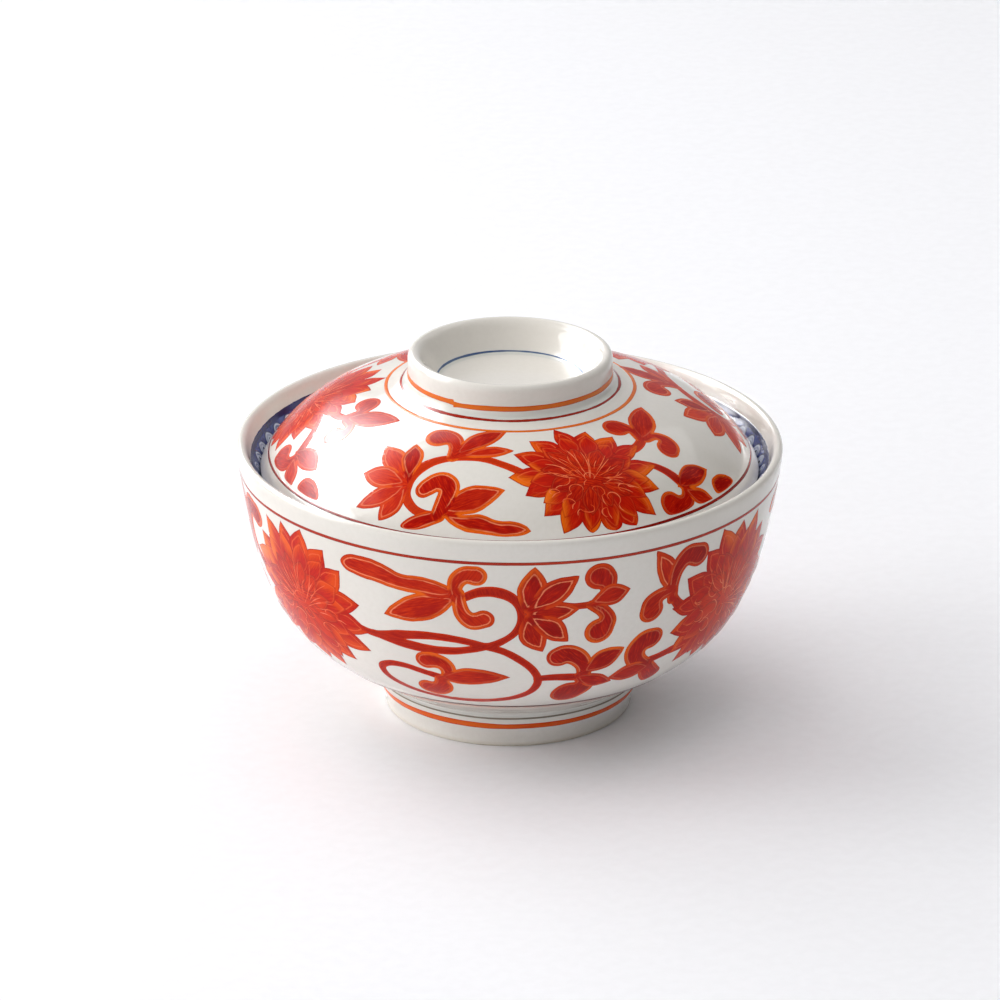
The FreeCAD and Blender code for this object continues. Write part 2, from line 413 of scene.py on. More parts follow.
# ---- the bowl's scroll: one bay of it, between two flowers ------------------------
# u runs round the bowl (mm at 58 mm radius), v runs down from the lip (mm)
def bowl_bay():
    s = []
    st = dict(rim=0.5, kind=0.0, line=0.0)
    # stems
    s.append(brush([(-39.0, 25.0, 0.9), (-35.5, 26.2, 0.9), (-31, 26.9, 1.0), (-25, 25.6, 1.2), (-18, 24.6, 1.05), (-12, 24.8, 0.9),
                    (-7, 25.8, 0.9), (-3.5, 26.9, 0.9)], seed=1, tone=0.2, **st))
    s.append(brush([(-32, 26.7, 0.9), (-25, 27.9, 1.2), (-18, 28.5, 1.2), (-12, 28.2, 1.0), (-7, 27, 0.9),
                    (-3.5, 25.9, 0.9)], seed=2, tone=0.35, **st))
    s.append(brush([(-5, 26.5, 0.9), (-1.5, 24.8, 0.85), (1.4, 22.2, 0.8), (2.7, 18.6, 0.8), (2.2, 15, 0.95),
                    (0.2, 12.6, 1.15), (-3, 11.4, 1.3), (-6.5, 11.7, 1.2), (-9.5, 13.2, 1.0)], seed=3, tone=0.15, **st))
    s.append(brush([(-5, 26.2, 0.95), (-1, 27.8, 0.9), (3, 30.6, 0.9), (6, 34, 0.95), (7.2, 37.5, 1.0), (6.2, 41, 0.95),
                    (3.4, 43.8, 0.95), (-1, 45.9, 0.95), (-7, 47.3, 1.0), (-13, 47.7, 1.0), (-19, 47.2, 0.95),
                    (-25, 45.6, 0.95), (-29.8, 43, 0.95), (-32.3, 40, 0.95), (-32.4, 37.2, 0.95), (-29.8, 35.5, 0.9),
                    (-25.5, 35.2, 0.85), (-21, 36.2, 0.85), (-16.5, 37.4, 1.0)], seed=4, tone=0.3, **st))
    s.append(brush([(7, 36.6, 1.0), (11, 36.5, 1.0), (15, 36.9, 1.2), (19, 37.4, 1.4)], seed=5, tone=0.1, **st))
    s.append(brush([(10, 14.8, 0.8), (14, 15.8, 0.75), (19, 15.7, 0.9)], seed=6, tone=0.5, **st))
    s.append(brush([(42.5, 22.5, 1.3), (40.0, 20.3, 1.2), (38.2, 17.6, 1.1), (37.2, 14.8, 1.1)], seed=7, tone=0.2, **st))
    s.append(brush([(33, 36.2, 1.3), (38, 35.6, 1.2), (43, 34.4, 1.2), (49, 33.5, 1.3)], seed=8, tone=0.1, **st))
    # upper left branch: long lobe, leaf and two curls
    s.append(leaf((-10.6, 13.4), (-28.4, 20.6), 3.5, bend=-0.3, belly=0.5, wr=3.1, tone=0.62, rim=0.95, seed=20, fat=0.25))
    s.append(outline([(-10.8, 11.8), (-13.5, 10.2), (-18, 9.0), (-23.5, 8.8), (-28, 7.1), (-32.5, 6.4), (-36.2, 7.0),
                      (-38.2, 9.0), (-37.2, 10.9), (-33.5, 12.0), (-29, 12.4), (-24.5, 13.3), (-18.5, 13.6),
                      (-13.5, 13.8)], (-11, 12.4), (-38, 9), rim=1.0, tone=0.66, seed=21))
    s.append(brush([(-10.9, 14.3, 1.0), (-11.5, 11.4, 1.4), (-10.9, 8.9, 1.7), (-9.1, 7.3, 1.9), (-7.0, 7.4, 2.3)],
                   seed=22, fat=0.20, rim=0.95, tone=0.58, kind=1.0, line=1.0))
    s.append(brush([(-10.6, 12, 1.0), (-10.6, 15, 1.4), (-9.7, 18, 1.8), (-7.8, 19.5, 2.1), (-5.4, 18.7, 2.3)],
                   seed=23, fat=0.20, rim=0.95, tone=0.6, kind=1.0, line=1.0))
    # palmate leaf
    c = (3.6, 17.2)
    s.append(leaf(c, (7.7, 27.9), 2.9, bend=0.7, belly=0.55, wr=3.0, tone=0.5, rim=1.25, seed=30))
    s.append(leaf(c, (15.4, 16.6), 2.6, bend=0.2, belly=0.5, tone=0.45, rim=1.05, seed=31))
    s.append(leaf(c, (13.4, 25.4), 2.7, bend=-0.5, belly=0.55, wr=2.8, tone=0.1, rim=1.2, seed=32))
    s.append(leaf(c, (5.4, 4.8), 3.2, bend=0.4, belly=0.5, wr=3.0, tone=0.1, rim=1.35, seed=33))
    s.append(leaf(c, (14.8, 7.9), 3.0, bend=-0.2, belly=0.55, wr=3.1, tone=0.05, rim=1.25, seed=34))
    # trefoil right of it
    s.append(brush([(18.6, 15.9, 1.1), (21.0, 13.6, 1.3), (21.5, 11.2, 1.5), (20.6, 9.4, 2.5), (19.4, 8.6, 3.2)],
                   seed=40, fat=0.25, rim=1.2, tone=0.3, kind=1.0, line=0.5))
    s.append(brush([(18.0, 15.9, 1.0), (20.9, 18, 1.3), (22.3, 20.6, 1.6), (21.2, 22.6, 2.5), (20.3, 23.3, 3.3)],
                   seed=41, fat=0.28, rim=1.2, tone=0.25, kind=1.0, line=0.5))
    s.append(leaf((16.6, 15.9), (26.8, 13.1), 2.3, bend=-0.3, belly=0.6, wr=2.6, tone=0.45, rim=0.9, seed=42, fat=0.35, line=0.5))
    # upper right branch
    s.append(leaf((38.4, 18.0), (32.4, 4.7), 2.7, bend=0.6, belly=0.5, wr=2.3, tone=0.6, rim=1.15, seed=50, fat=0.20))
    s.append(brush([(38.2, 18.6, 1.3), (37.9, 14.4, 1.5), (38.6, 10.8, 1.9), (41.0, 8.1, 2.4), (44.3, 8.9, 2.8)],
                   seed=51, fat=0.20, rim=0.9, tone=0.25, kind=1.0, line=0.5))
    s.append(brush([(37.6, 16.2, 1.3), (34.8, 16.7, 1.7), (32.8, 18.2, 2.3), (32.9, 20.5, 2.8)],
                   seed=52, fat=0.20, rim=1.0, tone=0.5, kind=1.0, line=0.4))
    # lower middle group
    s.append(brush([(18.5, 36.4, 1.5), (17.8, 32.8, 1.9), (15.4, 30.0, 2.2), (12.9, 29.2, 2.6), (11.6, 29.8, 2.7)],
                   seed=60, fat=0.30, rim=0.85, tone=0.15, kind=1.0, line=0.7))
    s.append(brush([(17.5, 37.0, 1.4), (19.7, 39.8, 1.9), (18.7, 42.3, 3.0), (15.8, 43.8, 4.2)],
                   seed=61, fat=0.35, rim=0.9, tone=0.15, kind=1.0, line=0.3))
    s.append(leaf((16.5, 36.5), (27.0, 40.9), 2.2, bend=0.6, belly=0.5, tone=0.0, rim=0.6, seed=62, fat=0.30, line=0.3))
    s.append(leaf((17.6, 36.0), (27.5, 29.4), 2.8, bend=-0.3, belly=0.55, wr=3.0, tone=0.05, rim=0.8, seed=63, fat=0.35, line=0.4))
    # next to it
    s.append(brush([(36.0, 38.0, 1.8), (38.0, 40.8, 2.4), (40.0, 42.8, 2.6)], seed=70, fat=0.30, rim=0.8, tone=0.1, kind=1.0,
                   line=0.2))
    s.append(brush([(34.8, 37, 1.9), (31.7, 34.3, 2.3), (31.0, 31.2, 2.7), (32.8, 28.9, 2.9), (34.6, 28.7, 2.7)],
                   seed=71, fat=0.35, rim=0.9, tone=0.2, kind=1.0, line=0.4))
    s.append(leaf((37.4, 38.0), (25.4, 39.5), 2.9, bend=0.2, belly=0.5, wr=2.8, tone=0.4, rim=0.9, seed=72, fat=0.35, line=0.3))
    # inside the loop
    s.append(brush([(-16.9, 38.2, 1.3), (-16.6, 41, 2.4), (-18.8, 42.8, 2.8), (-20.8, 42.4, 2.7)],
                   seed=80, fat=0.15, rim=1.0, tone=0.6, kind=1.0, line=0.2))
    s.append(brush([(-15.6, 38.0, 1.2), (-14.4, 34.9, 1.7), (-15.5, 32.6, 2.1), (-17.9, 31.9, 2.3), (-19.6, 32.2, 2.4)],
                   seed=81, fat=0.15, rim=0.9, tone=0.5, kind=1.0, line=0.6))
    s.append(leaf((-17.2, 37.6), (0.5, 36.0), 2.7, bend=-0.5, belly=0.45, wr=2.8, tone=0.55, rim=0.85, seed=82, fat=0.20, line=0.2))
    return s


def bowl_flower():
    # drawn round (0, 24) in true mm; widened where the bowl narrows when placed
    return flower(0.0, 24.0, 20.6, 20.0, seed=5, n=17, phase=0.35, down=1.0)


# ---- the lid's scroll: one third of it, round the first flower -------------------
# x to the right, y to the back, distances from the axis measured along the surface
def lid_third():
    s = []
    st = dict(rim=0.45, kind=0.0, line=0.0)
    s.append(brush([(3.5, -43.6, 1.0), (-1.5, -40.9, 0.95), (-6, -38.9, 0.85), (-11, -38.0, 0.95), (-16, -38.0, 1.1),
                    (-20, -39.4, 1.25), (-23.2, -42.6, 1.25), (-24.2, -46.5, 1.1), (-22.7, -50.0, 1.0),
                    (-19.5, -52.4, 1.0), (-16.5, -53.0, 1.1)], seed=101, tone=0.55, **st))
    s.append(brush([(30.4, -22.5, 1.2), (30.0, -27.0, 1.1), (28.4, -30.2, 1.1), (25.0, -33.0, 1.2)], seed=102, tone=0.5, **st))
    s.append(brush([(29.5, -34.6, 0.9), (33.5, -33.6, 0.85), (38, -34.0, 1.2), (42, -35.4, 1.5)], seed=103, tone=0.1, **st))
    s.append(brush([(54.4, -23.6, 1.5), (53.6, -25.0, 2.3), (52.6, -26.6, 2.9), (51.6, -28.2, 2.7)],
                   seed=104, rim=0.9, tone=0.3, kind=1.0, line=0.2))
    # leaves below the loop
    s.append(outline([(-16.4, -52.2), (-12, -53.6), (-6.5, -54.2), (-3.2, -55.6), (1.0, -56.0), (4.0, -56.9),
                      (5.3, -58.1, 1), (3.0, -59.4), (-1, -60.0), (-5, -59.2), (-10, -58.0), (-14, -55.6)],
                     (-16.5, -53), (5, -58), rim=0.95, tone=0.35, seed=110))
    s.append(leaf((-16.8, -52.2), (-1.0, -48.2), 3.0, bend=0.1, belly=0.5, wr=3.3, tone=0.55, rim=0.95, seed=111, fat=0.30))
    s.append(brush([(-16.6, -53.2, 1.3), (-20, -53.4, 1.6), (-23.4, -53.8, 1.7), (-24.9, -54.0, 1.4)], seed=112, fat=0.30, rim=0.7,
                   tone=0.3, kind=1.0, line=0.7))
    s.append(brush([(-17.2, -52.8, 1.4), (-15.0, -49.4, 1.9), (-13.9, -46.4, 2.2), (-15.8, -44.3, 2.2), (-18.7, -45.2, 2.1),
                    (-19.8, -45.8, 1.9)], seed=113, fat=0.30, rim=0.9, tone=0.35, kind=1.0, line=1.0))
    # trio on the top of the loop
    s.append(brush([(-12.9, -37.6, 1.4), (-12.1, -34.0, 1.7), (-12.8, -31.0, 2.1), (-15.2, -29.9, 3.0), (-16.0, -29.9, 3.2)],
                   seed=120, rim=0.9, tone=0.55, kind=1.0, line=0.5))
    s.append(leaf((-13.2, -37.8), (0.9, -36.2), 1.8, bend=0.3, belly=0.62, wr=1.9, tone=0.7, rim=0.8, seed=121, line=0.4))
    s.append(leaf((-13.0, -37.4), (-0.6, -28.8), 2.9, bend=0.5, belly=0.55, wr=2.5, tone=0.45, rim=0.8, seed=122, line=0.4))
    # palmate leaf
    c = (-23.6, -43.4)
    s.append(leaf(c, (-31.8, -50.2), 2.6, bend=0.3, belly=0.55, wr=2.7, tone=0.75, rim=0.9, seed=130, line=0.6))
    s.append(leaf(c, (-28.2, -29.7), 3.0, bend=-0.2, belly=0.58, wr=2.7, tone=0.9, rim=0.9, seed=131, line=0.6))
    s.append(leaf(c, (-37.0, -44.4), 2.5, bend=0.3, belly=0.5, wr=2.3, tone=0.75, rim=0.8, seed=132, line=0.6))
    s.append(leaf(c, (-34.2, -36.1), 2.9, bend=-0.2, belly=0.55, wr=2.9, tone=0.8, rim=0.9, seed=133, line=0.6))
    s.append(leaf(c, (-21.2, -31.2), 2.4, bend=0.1, belly=0.6, wr=2.5, tone=0.3, rim=0.8, seed=134, line=0.8))
    # bud right of the flower
    s.append(brush([(29.6, -25.6, 1.2), (27.6, -23.0, 1.4), (25.2, -22.9, 2.3), (24.2, -23.3, 2.9)], seed=140, rim=0.8,
                   tone=0.5, kind=1.0, line=0.2))
    s.append(brush([(31.2, -25.2, 1.2), (33.2, -23.0, 1.3), (35.8, -22.8, 1.6), (37.4, -24.3, 2.1), (36.7, -25.9, 2.9)],
                   seed=141, rim=0.8, tone=0.45, kind=1.0, line=0.2))
    s.append(leaf((30.3, -26.2), (30.2, -10.9), 3.1, bend=0.0, belly=0.5, wr=3.3, tone=0.5, rim=0.8, seed=142, line=0.3))
    # three leaves at the far right
    s.append(brush([(42.3, -35.4, 1.3), (43.2, -38.6, 1.8), (41.2, -41.4, 2.5), (39.4, -42.0, 3.1)], seed=150, fat=0.25, rim=0.8,
                   tone=0.2, kind=1.0, line=0.2))
    s.append(leaf((40.6, -36.4), (51.8, -34.6), 2.3, bend=0.1, belly=0.6, wr=2.3, tone=0.5, rim=0.8, seed=151, fat=0.30, line=0.3))
    s.append(leaf((40.0, -36.6), (47.2, -25.8), 2.8, bend=0.3, belly=0.5, wr=2.5, tone=0.15, rim=0.7, seed=152, fat=0.20, line=0.2))
    # the flower
    s += flower(18.2, -42.0, 18.2, 16.4, seed=9, n=16, phase=0.28, down=-1.0)
    return s


# =============================================================================
# flat drawing -> thin raised enamel on the glaze, as closed meshes
# =============================================================================
def seg_dist(P, poly):
    """Distance of each point to a closed polyline."""
    A, B = poly, np.roll(poly, -1, 0)
    d = B - A
    L2 = np.maximum((d * d).sum(1), 1e-12)
    best = np.full(len(P), 1e9)
    for i in range(0, len(P), 4000):
        p = P[i:i + 4000, None, :] - A[None]
        t = np.clip((p * d[None]).sum(-1) / L2, 0, 1)
        e = p - t[..., None] * d[None]
        best[i:i + 4000] = np.sqrt((e * e).sum(-1)).min(1)
    return best


def arrange(shapes, grid=0.5):
    """Cut overlapping outlines into one flat triangle mesh; each triangle takes
    the topmost shape.  Returns points, triangles, shape index per triangle."""
    verts, faces = [], []
    for sh in shapes:
        k = len(verts)
        verts += [Vector(p) for p in sh["poly"]]
        x, y = sh["poly"].T
        loop = list(range(k, k + len(sh["poly"])))
        if (x * np.roll(y, -1) - np.roll(x, -1) * y).sum() < 0:
            loop = loop[::-1]
        faces.append(loop)
    edge = np.concatenate([sh["poly"] for sh in shapes])
    lo, hi = edge.min(0), edge.max(0)
    gx = np.arange(lo[0], hi[0], grid)
    gy = np.arange(lo[1], hi[1], grid * 0.866)
    G = np.stack(np.meshgrid(gx, gy), -1)
    G[1::2, :, 0] += grid / 2
    G = G.reshape(-1, 2) + RNG.uniform(-0.02, 0.02, (G.shape[0] * G.shape[1], 2))
    kd = kdtree.KDTree(len(edge))
    for i, p in enumerate(edge):
        kd.insert((p[0], p[1], 0), i)
    kd.balance()
    keep = np.zeros(len(G), bool)
    for sh in shapes:
        p = sh["poly"]
        m = ((G >= p.min(0)) & (G <= p.max(0))).all(1) & ~keep
        idx = np.nonzero(m)[0]
        if len(idx):
            keep[idx[inside(G[idx], p)]] = True
    G = G[keep]
    G = np.array([g for g in G if kd.find((g[0], g[1], 0))[2] > grid * 0.42])
    verts += [Vector(g) for g in G]
    v, _, f, _, _, _ = geometry.delaunay_2d_cdt(verts, [], faces, 0, 1e-5, True)
    V = np.array([(p.x, p.y) for p in v])
    tri = np.array([(a[0], a[k], a[k + 1]) for a in f for k in range(1, len(a) - 1)])
    mid = V[tri].mean(1)
    top = np.full(len(tri), -1)
    for k, sh in enumerate(shapes):
        p = sh["poly"]
        idx = np.nonzero(((mid >= p.min(0)) & (mid <= p.max(0))).all(1))[0]
        if len(idx):
            top[idx[inside(mid[idx], p)]] = k
    ok = top >= 0
    return V, tri[ok], top[ok]


def inside(P, poly):
    x, y = P[:, 0:1], P[:, 1:2]
    x0, y0 = poly[:, 0], poly[:, 1]
    x1, y1 = np.roll(x0, -1), np.roll(y0, -1)
    c = ((y0 > y) != (y1 > y)) & (x < (x1 - x0) * (y - y0) / (y1 - y0 + 1e-12) + x0)
    return c.sum(1) % 2 == 1


def boundary(tri):
    """Directed edges used by one triangle only."""
    e = np.concatenate([tri[:, [0, 1]], tri[:, [1, 2]], tri[:, [2, 0]]])
    k = {}
    for a, b in e:
        k[(a, b)] = 1
    return np.array([(a, b) for a, b in e if (b, a) not in k])


class Drawing:
    """Shapes arranged once, with what the shader needs at every corner."""

    def __init__(self, shapes, grid=0.5):
        self.shapes = shapes
        self.V, tri, top = arrange(shapes, grid)
        A, B, C = self.V[tri[:, 0]], self.V[tri[:, 1]], self.V[tri[:, 2]]
        area = np.cross(B - A, C - A)
        ok = np.abs(area) > 1e-7
        tri, top, area = tri[ok], top[ok], area[ok]
        tri[area < 0] = tri[area < 0][:, ::-1]
        self.tri, self.top = tri, top
        self.edges = boundary(tri)
        # distance to the painted area's own edge
        mid = (self.V[self.edges[:, 0]] + self.V[self.edges[:, 1]]) / 2
        pts = np.concatenate([self.V[self.edges[:, 0]], mid])
        kd = kdtree.KDTree(len(pts))
        for i, p in enumerate(pts):
            kd.insert((p[0], p[1], 0), i)
        kd.balance()
        self.d = np.zeros(len(self.V))
        self.out = np.zeros_like(self.V)
        for i, p in enumerate(self.V):
            co, _, d = kd.find((p[0], p[1], 0))
            self.d[i] = d
            self.out[i] = (co[0] - p[0], co[1] - p[1])
        self.d[np.unique(self.edges)] = 0
        n = np.maximum(np.linalg.norm(self.out, axis=1), 1e-6)
        self.out /= n[:, None]
        # per-corner attributes
        nt = len(tri)
        ea, eb, ec = np.zeros((nt, 3, 3)), np.zeros((nt, 3, 3)), np.zeros((nt, 3, 3))
        self.lift = np.zeros(len(self.V))
        for k, sh in enumerate(shapes):
            sel = np.nonzero(top == k)[0]
            if not len(sel):
                continue
            t = tri[sel]
            u, inv = np.unique(t, return_inverse=True)
            P = self.V[u]
            dist = seg_dist(P, sh["poly"])
            ax = sh["tip"] - sh["base"]
            L = max(np.linalg.norm(ax), 1e-3)
            ax = ax / L
            q = P - sh["base"]
            al, ac = q @ ax, q @ np.array([-ax[1], ax[0]])
            inv = inv.reshape(t.shape)
            ea[sel, :, 0] = dist[inv]
            ea[sel, :, 1] = sh["rim"]
            ea[sel, :, 2] = (al / L)[inv]
            eb[sel, :, 0] = al[inv]
            eb[sel, :, 1] = ac[inv]
            eb[sel, :, 2] = sh["tone"]
            ec[sel, :, 0] = sh["kind"]
            ec[sel, :, 1] = sh["rnd"]
            ec[sel, :, 2] = sh["line"]
            self.lift[u] = np.maximum(self.lift[u], sh["lift"])
        self.ea, self.eb, self.ec = ea, eb, ec
        self.eu = self.d[tri]


THICK = 0.055          # enamel height, mm
UNDER = 0.030          # how far its underside sits in the glaze, mm


def enamel(name, drawing, place, body, mat, thick=THICK, shift=0.0):
    """place(points2d, height) -> positions in metres and unit normals."""
    V, tri, d = drawing.V, drawing.tri, drawing.d
    h = 0.004 + thick * smooth(d, 0, 0.30) + drawing.lift
    P, N = place(V, h)
    Pb, _ = place(V, np.full(len(V), -UNDER))
    # orientation of the mapping
    a, b, c = P[tri[0, 0]], P[tri[0, 1]], P[tri[0, 2]]
    flip = np.dot(np.cross(b - a, c - a), N[tri[0, 0]]) < 0
    T = tri[:, ::-1] if flip else tri
    ea, eb, ec, eu = [x[:, ::-1] if flip else x for x in (drawing.ea, drawing.eb, drawing.ec, drawing.eu)]
    eb = eb.copy()
    eb[:, :, 2] = np.clip(eb[:, :, 2] + shift, 0, 1)
    # tilt of the top near its edges
    Pe, _ = place(V + drawing.out * 0.02, h)
    o = Pe - P
    o /= np.maximum(np.linalg.norm(o, axis=1), 1e-12)[:, None]
    x = np.clip(d / 0.30, 0, 1)
    slope = thick / 0.30 * 6 * x * (1 - x)
    Nt = N + o * (slope * 0.8)[:, None]
    Nt /= np.linalg.norm(Nt, axis=1)[:, None]
    n = len(V)
    E = drawing.edges
    side = np.stack([E[:, 1], E[:, 0], E[:, 0] + n, E[:, 1] + n], 1)
    if flip:
        side = side[:, ::-1]
    used = np.unique(T)
    remap = -np.ones(2 * n, int)
    remap[used] = np.arange(len(used))
    remap[used + n] = np.arange(len(used)) + len(used)
    co = np.concatenate([P[used], Pb[used]])
    T2 = remap[T]
    bot = remap[T[:, ::-1] + n]
    side = remap[side]
    nt, ns = len(T2), len(side)
    loops = np.concatenate([T2.ravel(), bot.ravel(), side.ravel()])
    starts = np.concatenate([np.arange(nt) * 3, nt * 3 + np.arange(nt) * 3, nt * 6 + np.arange(ns) * 4])
    me = bpy.data.meshes.new(name)
    me.vertices.add(len(co))
    me.vertices.foreach_set("co", co.ravel())
    me.loops.add(len(loops))
    me.loops.foreach_set("vertex_index", loops)
    me.polygons.add(2 * nt + ns)
    me.polygons.foreach_set("loop_start", starts)
    me.update(calc_edges=True)
    me.validate()
    total = len(loops)
    sidefill = np.zeros((ns, 4, 3))
    for key, val in (("ea", ea), ("eb", eb), ("ec", ec)):
        at = me.attributes.new(key, "FLOAT_VECTOR", "CORNER")
        full = np.concatenate([val.reshape(-1, 3), val[:, ::-1].reshape(-1, 3),
                               (sidefill + (val.reshape(-1, 3).mean(0) if key == "eb" else 0)).reshape(-1, 3)])
        at.data.foreach_set("vector", full[:total].ravel())
    at = me.attributes.new("eu", "FLOAT", "CORNER")
    at.data.foreach_set("value", np.concatenate([eu.ravel(), eu[:, ::-1].ravel(), np.zeros(ns * 4)]))
    ln = np.concatenate([Nt[T].reshape(-1, 3), -N[T[:, ::-1]].reshape(-1, 3)])
    sv = co[side]
    sn = np.cross(sv[:, 1] - sv[:, 0], sv[:, 2] - sv[:, 1])
    sn /= np.maximum(np.linalg.norm(sn, axis=1), 1e-15)[:, None]
    ln = np.concatenate([ln, np.repeat(sn, 4, 0)])
    me.polygons.foreach_set("use_smooth", np.ones(2 * nt + ns, bool))
    me.normals_split_custom_set([tuple(x) for x in ln])
    me.materials.append(mat)
    ob = bpy.data.objects.new(name, me)
    bpy.context.scene.collection.objects.link(ob)
    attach(ob, body)
    return ob


def ring_line(name, prof, s0, width, body, mat, seed, thick=0.045, wob=0.05, vary=0.12, gap=None, n=720,
              cuts=0):
    """A brushed line right round a turned surface, as a closed band."""
    az = np.linspace(0, 2 * math.pi, n, endpoint=False)
    r = np.random.default_rng(seed)

    def noise(octs, lo):
        y = np.zeros(n)
        tot = 0
        for k in octs:
            a = r.uniform(0.5, 1.0) / (k ** 0.45)
            y += a * np.sin(k * az + r.uniform(0, 6.28))
            tot += a
        return y / tot * 1.6

    c = s0 + wob * noise([1, 2, 3, 5, 8, 13], 0)
    w = 0.5 * width * (1 + vary * noise([2, 3, 5, 9, 14, 23, 37], 0))
    if gap is not None:
        g0, amount = gap
        d = (az - g0 + math.pi) % (2 * math.pi) - math.pi
        c = c + amount * np.exp(-np.clip(d, 0, None) / 0.5) * (d > 0)
        w = w * (1 + 0.25 * np.exp(-(d / 0.05) ** 2))
    prof_x = np.array([-1, -0.82, -0.45, 0, 0.45, 0.82, 1.0])
    prof_h = np.array([0.004, 0.55 * thick, thick, thick * 1.02, thick, 0.55 * thick, 0.004])
    if cuts:
        prof_x = np.linspace(-1, 1, cuts)
        prof_h = np.full(cuts, thick)
        prof_h[[0, -1]] = 0.004
    co, nn, across = [], [], []
    for x, hh in zip(prof_x, prof_h):
        P, N = prof.place(az, c + x * w, np.full(n, hh))
        co.append(P)
        nn.append(N)
        across.append(np.full(n, x))
    for x in (1.0, -1.0):
        P, N = prof.place(az, c + x * w, np.full(n, -UNDER))
        co.append(P)
        nn.append(-N)
        across.append(np.full(n, x))
    m = len(co)
    co = np.concatenate(co)
    faces = []
    k = np.arange(n)
    kn = (k + 1) % n
    for j in range(m):
        j2 = (j + 1) % m
        faces.append(np.stack([j * n + k, j * n + kn, j2 * n + kn, j2 * n + k], 1))
    F = np.concatenate(faces)
    a, b, d = co[F[3 * n, 0]], co[F[3 * n, 1]], co[F[3 * n, 2]]
    if np.dot(np.cross(b - a, d - b), nn[3][0]) < 0:
        F = F[:, ::-1]
    me = bpy.data.meshes.new(name)
    me.from_pydata(co.tolist(), [], F.tolist())
    me.polygons.foreach_set("use_smooth", np.ones(len(F), bool))
    at = me.attributes.new("across", "FLOAT", "POINT")
    at.data.foreach_set("value", np.concatenate(across))
    at = me.attributes.new("run", "FLOAT", "POINT")
    at.data.foreach_set("value", np.tile(az, m))
    me.materials.append(mat)
    me.update()
    ob = bpy.data.objects.new(name, me)
    bpy.context.scene.collection.objects.link(ob)
    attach(ob, body)
    return ob


# =============================================================================
# materials
# =============================================================================
C_ORANGE = (240, 112, 14)
C_ORANGE2 = (222, 70, 8)
C_DEEP = (150, 6, 2)
C_DEEP2 = (184, 20, 4)
C_MID = (204, 34, 6)
C_MID2 = (220, 60, 12)
C_STEM = (164, 18, 4)
C_STEM2 = (188, 36, 8)
C_PALE = (252, 158, 112)


def new_mat(name):
    m = bpy.data.materials.new(name)
    m.use_nodes = True
    nt = m.node_tree
    for n in list(nt.nodes):
        nt.nodes.remove(n)
    out = nt.nodes.new("ShaderNodeOutputMaterial")
    b = nt.nodes.new("ShaderNodeBsdfPrincipled")
    nt.links.new(b.outputs[0], out.inputs[0])
    return m, nt, b


def N(nt, kind, **kw):
    n = nt.nodes.new(kind)
    for k, v in kw.items():
        setattr(n, k, v)
    return n


def L(nt, a, b):
    nt.links.new(a, b)


def val(nt, op, a, b=None, c=None, clamp=False):
    n = N(nt, "ShaderNodeMath", operation=op, use_clamp=clamp)
    for i, x in enumerate((a, b, c)):
        if x is None:
            continue
        if isinstance(x, (int, float)):
            n.inputs[i].default_value = x
        else:
            L(nt, x, n.inputs[i])
    return n.outputs[0]


def step(nt, x, lo, hi, out_lo=0.0, out_hi=1.0):
    n = N(nt, "ShaderNodeMapRange", interpolation_type="SMOOTHSTEP", clamp=True)
    L(nt, x, n.inputs["Value"])
    for key, v in (("From Min", lo), ("From Max", hi), ("To Min", out_lo), ("To Max", out_hi)):
        if isinstance(v, (int, float)):
            n.inputs[key].default_value = v
        else:
            L(nt, v, n.inputs[key])
    return n.outputs[0]


def mix(nt, f, a, b):
    n = N(nt, "ShaderNodeMix", data_type="RGBA", blend_type="MIX")
    n.clamp_factor = True
    if isinstance(f, (int, float)):
        n.inputs[0].default_value = f
    else:
        L(nt, f, n.inputs[0])
    for i, x in ((6, a), (7, b)):
        if isinstance(x, tuple):
            n.inputs[i].default_value = (*x, 1.0)
        else:
            L(nt, x, n.inputs[i])
    return n.outputs[2]


def noise(nt, vec, scale, detail=3.0, rough=0.5, dims="3D", w=None):
    n = N(nt, "ShaderNodeTexNoise", noise_dimensions=dims)
    L(nt, vec, n.inputs["Vector"])
    n.inputs["Scale"].default_value = scale
    n.inputs["Detail"].default_value = detail
    n.inputs["Roughness"].default_value = rough
    if w is not None:
        L(nt, w, n.inputs["W"])
    return n.outputs[0]


def srgb(r, g, b):
    def f(c):
        c /= 255.0
        return c / 12.92 if c <= 0.04045 else ((c + 0.055) / 1.055) ** 2.4
    return (f(r), f(g), f(b))


def glaze_gloss(b, rough=0.06):
    b.inputs["Roughness"].default_value = rough
    b.inputs["IOR"].default_value = 1.52
    b.inputs["Specular IOR Level"].default_value = 0.5


